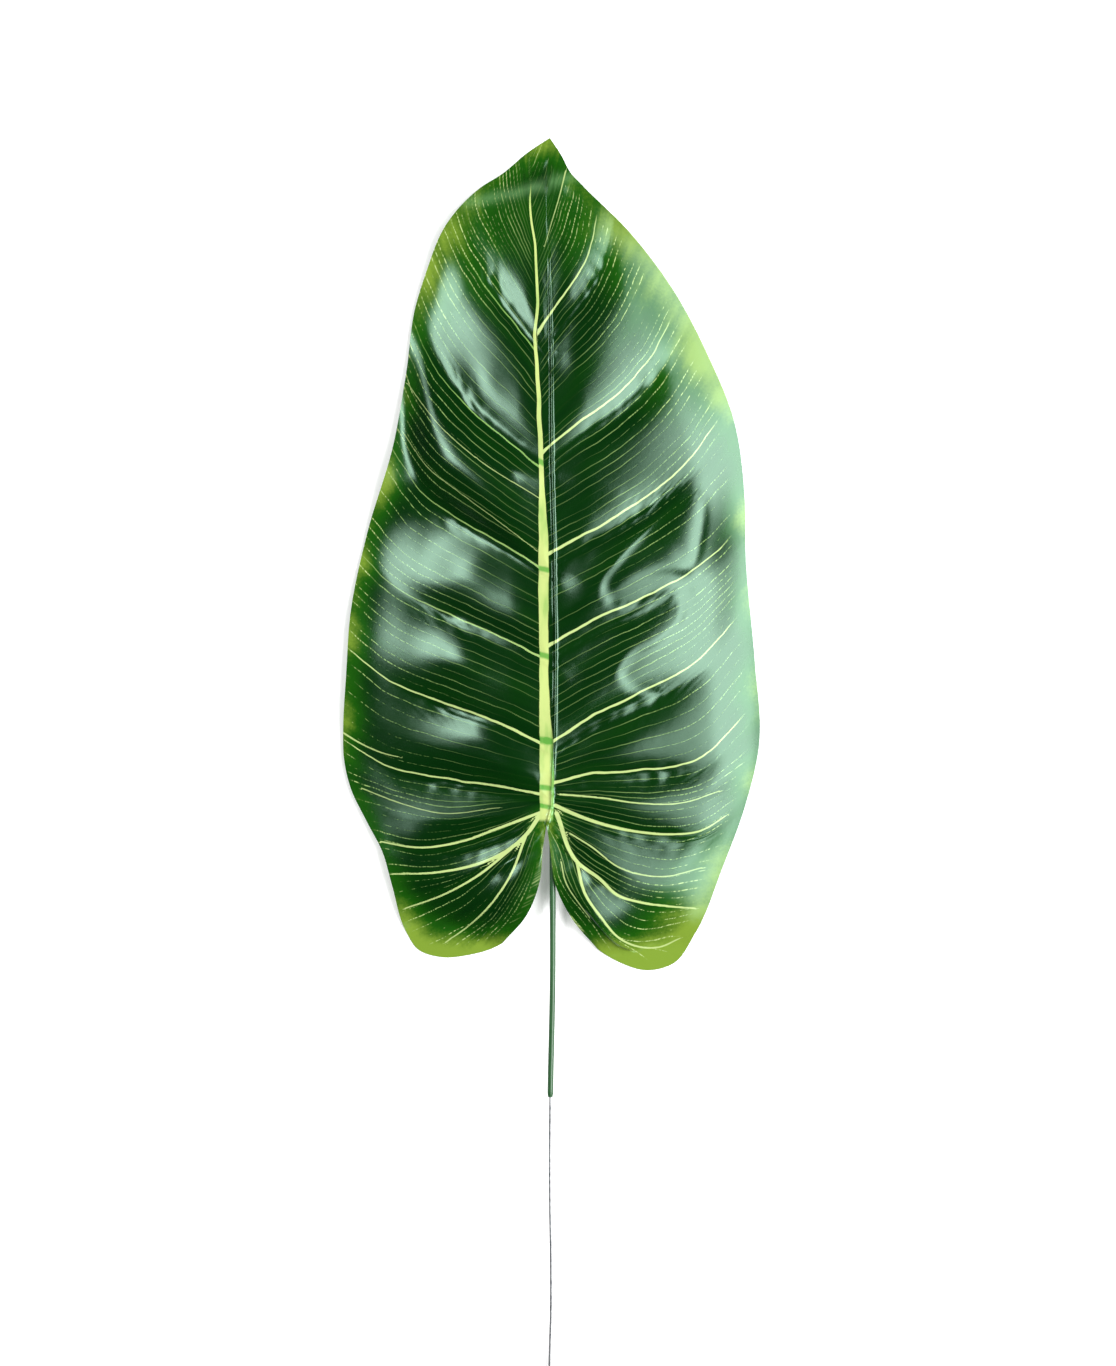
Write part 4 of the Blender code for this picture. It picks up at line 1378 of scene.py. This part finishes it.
@dataclass
class Blade:
    """The cloth blade, as a thin closed sheet that carries the print's places."""

    shape: SheetShape
    printing: Print
    thickness: float = 0.5
    row_pitch: float = 1.55
    row_bunching: float = 0.45
    columns: int = 70
    near_midline: float = 0.13
    outward_power: float = 1.6
    # Line of the tip crease, and how far the painted highlight along it reaches
    crease: tuple[Pair, ...] = ((-38.0, 260.5), (-20.0, 264.0), (-3.0, 268.5), (11.0, 272.5))
    crease_reach: float = 2.4
    edge_reach: float = 8.0
    edge_skip: int = 3
    edge_spray: dict[Side, float] = field(
        default_factory=lambda: {Side.LEFT: 0.44, Side.RIGHT: 0.30}
    )
    pass_share: float = 0.8
    spray_patches: float = 0.25
    spray_pitch: float = 14.0
    lone_steps: int = 160
    lone_reach: float = 4.0
    right_lines: int = 200
    sprays: tuple[tuple[float, float, float, float], ...] = (
        (-40, 240, 27, 0.50), (-54, 220, 19, 0.40), (-20, 250, 20, 0.22), (0, 282, 26, 0.18),
        (24, 250, 22, 0.62), (46, 228, 23, 0.60), (66, 200, 24, 0.66), (80, 172, 18, 0.60),
        (90, 120, 13, 0.8), (92, 80, 12, 0.6), (94, 40, 12, 0.7), (90, 0, 12, 0.6),
        (74, -36, 17, 0.62), (62, -66, 21, 0.95), (40, -82, 16, 1.05), (22, -76, 10, 0.6),
        (-30, -80, 14, 0.75), (-50, -80, 16, 1), (-66, -64, 12, 0.6), (-94, 66, 15, 0.55),
        (-95, 28, 14, 0.50), (-89, 100, 14, 0.55), (47, 171, 13, 0.30), (61, 190, 13, 0.34),
        (-76, 136, 11, 0.7), (-68, 170, 8, 0.3),
    )

    def row_roots(self) -> list[float]:
        """Places of the rows, bunched towards the veins where the ribs lie.

        Returns:
            Where each row leaves the midline.
        """
        halves = self.shape.halves.values()
        roots = sorted({v.root for half in halves for v in half.veins}) + [TIP[1]]
        placed = []
        for low, high in zip(roots[:-1], roots[1:]):
            rows = [
                [half.row(half.order_of(root), shares_of(2)) for root in (low, high)]
                for half in halves
            ]
            gap = max(np.linalg.norm(first[-1] - second[-1]) for first, second in rows)
            parts = max(1, math.ceil(gap / self.row_pitch))
            steps = np.arange(parts) / parts
            steps = steps - self.row_bunching * np.sin(2 * math.pi * steps) / (2 * math.pi)
            placed += list(low + (high - low) * steps)
        return placed

    def face_grid(self, side: Side, roots: list[float], shares: Points) -> Points:
        """Points of the face on one half.

        Args:
            side: the half.
            roots: where each row leaves the midline.
            shares: places along each row.

        Returns:
            The points with their heights, as rows by columns by three.
        """
        half = self.shape.halves[side]
        flat = np.array([half.row(half.order_of(root), shares) for root in roots])
        points = flat.reshape(-1, 2)
        root = np.repeat(roots, len(shares))
        share = np.tile(shares, len(roots))
        heights = self.shape.broad(points, root, share, side) + self.shape.relief(points, share)
        heights = heights - (self.shape.solid_thickness - self.thickness)
        lowered = np.maximum(heights, self.thickness)
        return np.column_stack([points, lowered]).reshape(len(roots), len(shares), 3)

    def build(self) -> bpy.types.Object:
        """Makes the blade's mesh and dresses it.

        Returns:
            The piece.
        """
        steps = shares_of(self.columns)
        shares = self.near_midline * steps + (1 - self.near_midline) * steps**self.outward_power
        roots = self.row_roots()
        left, right = (self.face_grid(side, roots, shares) for side in Side)
        left[:, 0, 2] = (left[:, 0, 2] + right[:, 0, 2]) / 2
        right = right[:, 1:]
        index = {Side.LEFT: np.arange(1, 1 + left[..., 0].size).reshape(left.shape[:2])}
        first = index[Side.LEFT][-1, -1] + 1
        own = np.arange(first, first + right[..., 0].size).reshape(right.shape[:2])
        index[Side.RIGHT] = np.hstack([index[Side.LEFT][:, :1], own])
        face = np.vstack([[[*TIP, self.thickness]], left.reshape(-1, 3), right.reshape(-1, 3)])
        faces, edge = self.face_triangles(index)
        count = len(face)
        back = face - np.array([0, 0, self.thickness])
        triangles = np.vstack([faces, faces[:, ::-1] + count, self.rim(edge, count)])
        mesh = bpy.data.meshes.new("leaf_blade_cloth")
        mesh.from_pydata((np.vstack([face, back]) * MM).tolist(), [], triangles.tolist())
        mesh.materials.append(PrintedCloth().material())
        mesh.materials.append(ClothBack().material())
        mesh.shade_smooth()
        slots = np.ones(len(triangles), int)
        slots[: len(faces)] = 0
        mesh.polygons.foreach_set("material_index", slots)
        self.mark_rim(mesh, edge, count)
        self.carry_print(mesh, face[:, :2])
        piece = bpy.data.objects.new("leaf_blade_cloth", mesh)
        bpy.context.scene.collection.objects.link(piece)
        return piece

    def face_triangles(self, index: dict[Side, Points]) -> tuple[Points, list[int]]:
        """Triangles of the face, seen from above, and the points round its outline.

        Args:
            index: for each half, the mesh's point number at each row and column.

        Returns:
            The triangles, and the outline's point numbers in order.
        """
        triangles = []
        for side, grid in index.items():
            a, b, c, d = grid[:-1, :-1], grid[:-1, 1:], grid[1:, 1:], grid[1:, :-1]
            quads = [np.stack([a, b, c], -1).reshape(-1, 3), np.stack([a, c, d], -1).reshape(-1, 3)]
            last = grid[-1]
            fan = np.stack([last[:-1], last[1:], np.zeros(len(last) - 1, int)], -1)
            part = np.vstack([*quads, fan])
            triangles.append(part if side is Side.RIGHT else part[:, ::-1])
        left, right = index[Side.LEFT], index[Side.RIGHT]
        edge = [*right[0, :-1], *right[:, -1], 0, *left[::-1, -1], *left[0, 1:-1][::-1]]
        return np.vstack(triangles), [int(n) for n in edge]

    def rim(self, edge: list[int], count: int) -> Points:
        """Triangles of the cut edge between the face and the back.

        Args:
            edge: the outline's point numbers on the face, in order.
            count: how many points the face has.

        Returns:
            The triangles.
        """
        ring = np.array(edge)
        ahead = np.roll(ring, -1)
        first = np.stack([ring, ring + count, ahead + count], -1)
        second = np.stack([ring, ahead + count, ahead], -1)
        return np.vstack([first, second])

    def mark_rim(self, mesh: bpy.types.Mesh, edge: list[int], count: int) -> None:
        """Keeps the cut edge crisp against the face and the back.

        Args:
            mesh: the blade's mesh.
            edge: the outline's point numbers on the face.
            count: how many points the face has.
        """
        ring = set(edge) | {n + count for n in edge}
        ends = np.empty(len(mesh.edges) * 2, int)
        mesh.edges.foreach_get("vertices", ends)
        ends = ends.reshape(-1, 2)
        inside = np.isin(ends, list(ring)).all(1)
        same = (ends[:, 0] < count) == (ends[:, 1] < count)
        mesh.edges.foreach_set("use_edge_sharp", inside & same)

    def net_places(self, half: LeafHalf, pressed: Points) -> dict[str, Points]:
        """Where spots lie among the veins of a half.

        Args:
            half: the half that they lie on.
            pressed: plan points of the pressing.

        Returns:
            One row of values for each name that the finish reads.
        """
        order, share, out, pitch = half.place_on_net(pressed)
        spaces = np.array([v.fine_spaces for v in half.veins])
        counts = np.concatenate([[0], np.cumsum(spaces)])
        places = np.arange(half.last + 1)
        strengths = [v.print_strength for v in half.veins] + [0.0]
        here = np.clip(np.floor(order).astype(int), 0, half.last - 1)
        first_line = self.right_lines if half.side is Side.RIGHT else 0
        return {
            "order": order,
            "share": share,
            "out": out,
            "pitch": pitch,
            "fine": np.interp(order, places, counts) + first_line,
            "fine_pitch": pitch / spaces[here],
            "strength": np.interp(order, places, strengths),
        }

    def carry_print(self, mesh: bpy.types.Mesh, plan: Points) -> None:
        """Stores the print's places on the mesh, the same on the face and the back.

        Args:
            mesh: the blade's mesh.
            plan: plan points of the face.
        """
        pressed = self.printing.pressed_spot(plan)
        mid = along(MIDLINE, shares_of(MIDLINE_STEPS))
        is_right = pressed[:, 0] > np.interp(pressed[:, 1], mid[:, 1], mid[:, 0])
        columns = {}
        for side, mask in ((Side.LEFT, ~is_right), (Side.RIGHT, is_right)):
            for name, values in self.net_places(self.shape.halves[side], pressed[mask]).items():
                columns.setdefault(name, np.zeros(len(plan)))[mask] = values
        columns["rib_aside"] = self.printing.rib_aside(plan)
        columns["run"] = plan[:, 1]
        columns["lone_gap"], columns["lone_near"], columns["lone_half"] = self.lone_gaps(plan)
        columns["spray"] = self.spray_at(plan)
        # Mask of the painted highlight along the tip crease
        crease = along(self.crease, shares_of(FOLD_STEPS))
        gap, _ = nearest_on(plan, crease, BELL * self.crease_reach)
        columns["crease"] = np.exp(-((gap / self.crease_reach) ** 2))
        for name, values in columns.items():
            layer = mesh.attributes.new(name, "FLOAT", "POINT")
            layer.data.foreach_set("value", np.tile(values, 2).astype(np.float32))

    def lone_gaps(self, plan: Points) -> Points:
        """Where plan points lie from the veins with lines of their own.

        Args:
            plan: plan points.

        Returns:
            Rows of the signed distance to the nearest line, the plain distance, and half the line's
            width there.
        """
        best = np.array([np.full(len(plan), FAR), np.full(len(plan), FAR), np.zeros(len(plan))])
        shares = shares_of(self.lone_steps)
        for vein in LONE_VEINS:
            gaps, nearest, left = side_of(plan, along(vein.line, shares), self.lone_reach)
            half = np.interp(shares[nearest], [0, 1], vein.widths) / 2
            closer = gaps < best[1]
            best[:, closer] = np.array([np.where(left, gaps, -gaps), gaps, half])[:, closer]
        return best

    def spray_at(self, plan: Points) -> Points:
        """How much lime is sprayed, from listed passes along the margins.

        Args:
            plan: plan points.

        Returns:
            0 where there is none and about 1 where it covers.
        """
        spray = np.zeros(len(plan))
        for x, y, reach, strength in self.sprays:
            gap = np.linalg.norm(plan - np.array([x, y]), axis=1)
            spray = spray + strength * np.exp(-((gap / reach) ** 2)) * self.pass_share
        for side, half in self.shape.halves.items():
            gap, _ = nearest_on(plan, half.edge[:: self.edge_skip])
            spray = spray + self.edge_spray[side] * np.exp(-((gap / self.edge_reach) ** 2))
        return spray * (1 + self.spray_patches * grain(plan, self.spray_pitch, SPRAY_SEED))


@dataclass
class TaperedBar:
    """A round bar along a path whose thickness changes, swept by Geometry Nodes."""

    name: str
    sides: int = 16

    def tree(self) -> bpy.types.NodeTree:
        """Makes the nodes that sweep a round section along curves.

        Returns:
            The node tree.
        """
        tree = bpy.data.node_groups.new(self.name, "GeometryNodeTree")
        for name, flow, kind in (
            ("Path", "INPUT", "Geometry"),
            ("Section radius", "INPUT", "Float"),
            ("Section sides", "INPUT", "Int"),
            ("Finish", "INPUT", "Material"),
            ("Bar", "OUTPUT", "Geometry"),
        ):
            tree.interface.new_socket(name, in_out=flow, socket_type="NodeSocket" + kind)
        kinds = (
            "NodeGroupInput", "GeometryNodeCurvePrimitiveCircle", "GeometryNodeCurveToMesh",
            "GeometryNodeInputRadius", "GeometryNodeSetShadeSmooth", "GeometryNodeRealizeInstances",
            "GeometryNodeSetMaterial", "NodeGroupOutput",
        )
        nodes = [tree.nodes.new(kind) for kind in kinds]
        source, section, sweep, radius, soft, real, dress, out = nodes
        sweep.inputs["Fill Caps"].default_value = True
        for start, end in (
            (source.outputs["Section radius"], section.inputs["Radius"]),
            (source.outputs["Section sides"], section.inputs["Resolution"]),
            (source.outputs["Path"], sweep.inputs["Curve"]),
            (section.outputs["Curve"], sweep.inputs["Profile Curve"]),
            (radius.outputs[0], sweep.inputs["Scale"]),
            (sweep.outputs["Mesh"], soft.inputs["Geometry"]),
            (soft.outputs[0], real.inputs["Geometry"]),
            (real.outputs[0], dress.inputs["Geometry"]),
            (source.outputs["Finish"], dress.inputs["Material"]),
            (dress.outputs[0], out.inputs[0]),
        ):
            tree.links.new(start, end)
        return tree

    def build(self, paths: list[tuple[Points, Points]], finish: bpy.types.Material) -> bpy.types.Object:
        """Sweeps the bars and joins them in one mesh.

        Args:
            paths: for each bar, its centre points and its radii, in millimetres.
            finish: the bars' material.

        Returns:
            The piece.
        """
        curve = bpy.data.curves.new(self.name + "_path", "CURVE")
        curve.dimensions = "3D"
        for centres, radii in paths:
            line = curve.splines.new("POLY")
            line.points.add(len(centres) - 1)
            spots = np.column_stack([np.asarray(centres) * MM, np.ones(len(centres))])
            line.points.foreach_set("co", spots.ravel())
            line.points.foreach_set("radius", np.asarray(radii, float))
        carrier = bpy.data.objects.new(self.name + "_path", curve)
        bpy.context.scene.collection.objects.link(carrier)
        tree = self.tree()
        sweep = carrier.modifiers.new("sweep", "NODES")
        sweep.node_group = tree
        values = {"Section radius": MM, "Section sides": self.sides, "Finish": finish}
        for item in tree.interface.items_tree:
            if item.name in values:
                sweep[item.identifier] = values[item.name]
        bpy.context.view_layer.update()
        evaluated = carrier.evaluated_get(bpy.context.evaluated_depsgraph_get())
        mesh = bpy.data.meshes.new_from_object(evaluated)
        mesh.name = self.name
        piece = bpy.data.objects.new(self.name, mesh)
        bpy.context.scene.collection.objects.link(piece)
        carrier.modifiers.remove(sweep)
        bpy.data.objects.remove(carrier)
        return piece


@dataclass
class Stem:
    """The moulded ribs and sleeve behind the blade, and the wire inside them."""

    shape: SheetShape
    sheet_thickness: float = 0.5
    wire_radius: float = 0.5
    sleeve_radius: float = 1.35
    sleeve_length: float = 122.0
    rib_radius: Pair = (1.45, 0.75)
    side_rib_radius: Pair = (0.95, 0.45)
    rib_top: float = 240.0
    wire_top: float = 140.0
    wire_sides: int = 12
    sink: float = 0.25
    rib_foot: float = -15.0
    rib_steps: int = 320
    side_rib_steps: int = 40
    stem_steps: int = 120
    axis_steps: int = 260
    overlap: float = 8.0
    lip_length: float = 1.2
    lip_share: float = 0.8

    def under_sheet(
        self, line: Points, root: Points, share: Points, side: Side, radii: Points
    ) -> Points:
        """Centres of a bar pressed into the blade's back along a plan line.

        Args:
            line: plan points on the line.
            root: where each point's row leaves the midline.
            share: how far out on its row each point is.
            side: the half that the line is on.
            radii: the bar's radius at each point.

        Returns:
            The centres.
        """
        face = self.shape.broad(line, root, share, side)
        face = face - (self.shape.solid_thickness - self.sheet_thickness)
        return np.column_stack([line, face - self.sheet_thickness - radii + self.sink])

    def main_rib(self) -> tuple[Points, Points]:
        """The main rib, from the notch up to its end.

        Returns:
            Its centres and radii.
        """
        mid = along(MIDLINE, shares_of(self.rib_steps))
        mid = mid[(mid[:, 1] > self.rib_foot) & (mid[:, 1] < self.rib_top)]
        radii = np.interp(mid[:, 1], [self.rib_foot, self.rib_top], self.rib_radius)
        zero = np.zeros(len(mid))
        return self.under_sheet(mid, mid[:, 1], zero, Side.LEFT, radii), radii

    def side_ribs(self) -> list[tuple[Points, Points]]:
        """The side ribs.

        Returns:
            Centres and radii of each.
        """
        ribs = []
        for side, half in self.shape.halves.items():
            backed = [order for order, vein in enumerate(half.veins) if vein.ribbed]
            for order, (line, reach) in zip(backed, half.ribbed_veins()):
                shares = np.linspace(0, reach / distance_along(line)[-1], self.side_rib_steps)
                flat = half.row(order, shares)
                radii = np.interp(shares, [0, shares[-1]], self.side_rib_radius)
                root = np.full(len(shares), half.veins[order].root)
                ribs.append((self.under_sheet(flat, root, shares, side, radii), radii))
        return ribs

    def axis(self, rib: Points) -> Points:
        """Centre line of the sleeve and wire, from the cut end up into the main rib.

        Args:
            rib: centres of the main rib.

        Returns:
            Points of the line.
        """
        stem = along(STEM_ROUTE, shares_of(self.stem_steps))[::-1]
        start, end = STEM_ROUTE[0][1], STEM_ROUTE[-1][1]
        share = (stem[:, 1] - start) / (end - start)
        heights = rib[0][2] + (self.wire_radius - rib[0][2]) * share
        outer = np.column_stack([stem, heights])[:-1]
        inner = rib[rib[:, 1] < self.wire_top][2::6]
        return along(np.vstack([outer, inner]), shares_of(self.axis_steps))

    def build(self) -> list[bpy.types.Object]:
        """Makes the moulding and the wire.

        Returns:
            Both pieces.
        """
        rib, radii = self.main_rib()
        axis = self.axis(rib)
        low = STEM_ROUTE[0][1] - self.sleeve_length
        sleeve = axis[(axis[:, 1] > low) & (axis[:, 1] < rib[0][1] + self.overlap)]
        risen = (sleeve[:, 1] - sleeve[0, 1]) / self.lip_length
        lip = np.minimum(1.0, self.lip_share + (1 - self.lip_share) * risen)
        paths = [(rib, radii), (sleeve, self.sleeve_radius * lip), *self.side_ribs()]
        moulding = TaperedBar("rib_and_sleeve").build(paths, MouldedPlastic().material())
        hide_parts("stem_moulding")
        cut = np.full(len(axis), self.wire_radius)
        bar = TaperedBar("stem_core_wire", self.wire_sides)
        wire = bar.build([(axis, cut)], GalvanisedSteel().material())
        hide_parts("stem_wire")
        return [moulding, wire]


@dataclass(frozen=True)
class Softbox:
    """A rectangular studio light."""

    place: tuple[float, float, float]
    size: Pair
    brightness: float

    def build(self) -> None:
        """Hangs the light and turns it straight across to the leaf."""
        data = bpy.data.lights.new("softbox", "AREA")
        data.shape = "RECTANGLE"
        data.size, data.size_y = self.size
        data.energy = self.brightness * self.size[0] * self.size[1] * math.pi
        lamp = bpy.data.objects.new("softbox", data)
        bpy.context.scene.collection.objects.link(lamp)
        lamp.location = self.place
        aim = Vector((0.0, self.place[1], 0.0))
        lamp.rotation_euler = (aim - lamp.location).to_track_quat("-Z", "Y").to_euler()


@dataclass(frozen=True)
class Studio:
    """Pale floor, soft lights and the camera straight above the leaf."""

    floor_size: float = 6.0
    floor_colour: tuple[float, ...] = (0.86, 0.86, 0.86, 1.0)
    floor_glow: float = 0.3
    floor_roughness: float = 0.9
    floor_shine: float = 0.1
    view_centre: Pair = (0.00315, 0.04475)
    view_height: float = 0.6147
    camera_height: float = 1.8
    sensor: float = 36.0
    sky: float = 0.06
    lights: tuple[Softbox, ...] = (
        Softbox((-0.80, 0.58, 1.20), (1.04, 0.52), 6.6),
        Softbox((-0.795, 0.42, 1.195), (0.66, 0.32), 6.5),
        Softbox((0.938, 0.14, 1.064), (1.52, 1.07), 6.8),
        Softbox((0.932, 0.10, 1.058), (1.10, 0.62), 5.8),
        Softbox((0.415, -0.28, 1.358), (0.66, 0.16), 4.0),
    )

    def build(self) -> None:
        """Sets the studio up."""
        half = self.floor_size / 2
        mesh = bpy.data.meshes.new("floor")
        corners = [(-half, -half, 0), (half, -half, 0), (half, half, 0), (-half, half, 0)]
        mesh.from_pydata(corners, [], [(0, 1, 2, 3)])
        floor = bpy.data.objects.new("floor", mesh)
        bpy.context.scene.collection.objects.link(floor)
        s = Shader("pale_floor")
        mesh.materials.append(
            s.finish(
                Base_Color=self.floor_colour,
                Roughness=self.floor_roughness,
                Specular_IOR_Level=self.floor_shine,
                Emission_Color=self.floor_colour,
                Emission_Strength=self.floor_glow,
            )
        )
        for light in self.lights:
            light.build()
        world = bpy.data.worlds.new("studio_air")
        world.use_nodes = True
        background = world.node_tree.nodes["Background"]
        background.inputs[0].default_value = (self.sky, self.sky, self.sky, 1.0)
        bpy.context.scene.world = world
        bpy.context.scene.view_settings.view_transform = "Standard"
        data = bpy.data.cameras.new("camera")
        data.sensor_width = self.sensor
        data.lens = self.sensor * self.camera_height / self.view_height
        camera = bpy.data.objects.new("camera", data)
        camera.location = (*self.view_centre, self.camera_height)
        bpy.context.scene.collection.objects.link(camera)
        bpy.context.scene.camera = camera


def main() -> None:
    """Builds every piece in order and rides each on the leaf's one body."""
    logging.basicConfig(level=logging.INFO, format="%(name)s: %(message)s")
    halves = {side: LeafHalf(side) for side in Side}
    shape = SheetShape(halves)
    blade = Blade(shape, Print()).build()
    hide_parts("leaf_blade")
    pieces = [blade, *Stem(shape).build()]
    for piece in pieces:
        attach(piece, BODY)
        LOG.info("%s: %d faces", piece.name, len(piece.data.polygons))
    Studio().build()


if __name__ == "__main__":
    main()
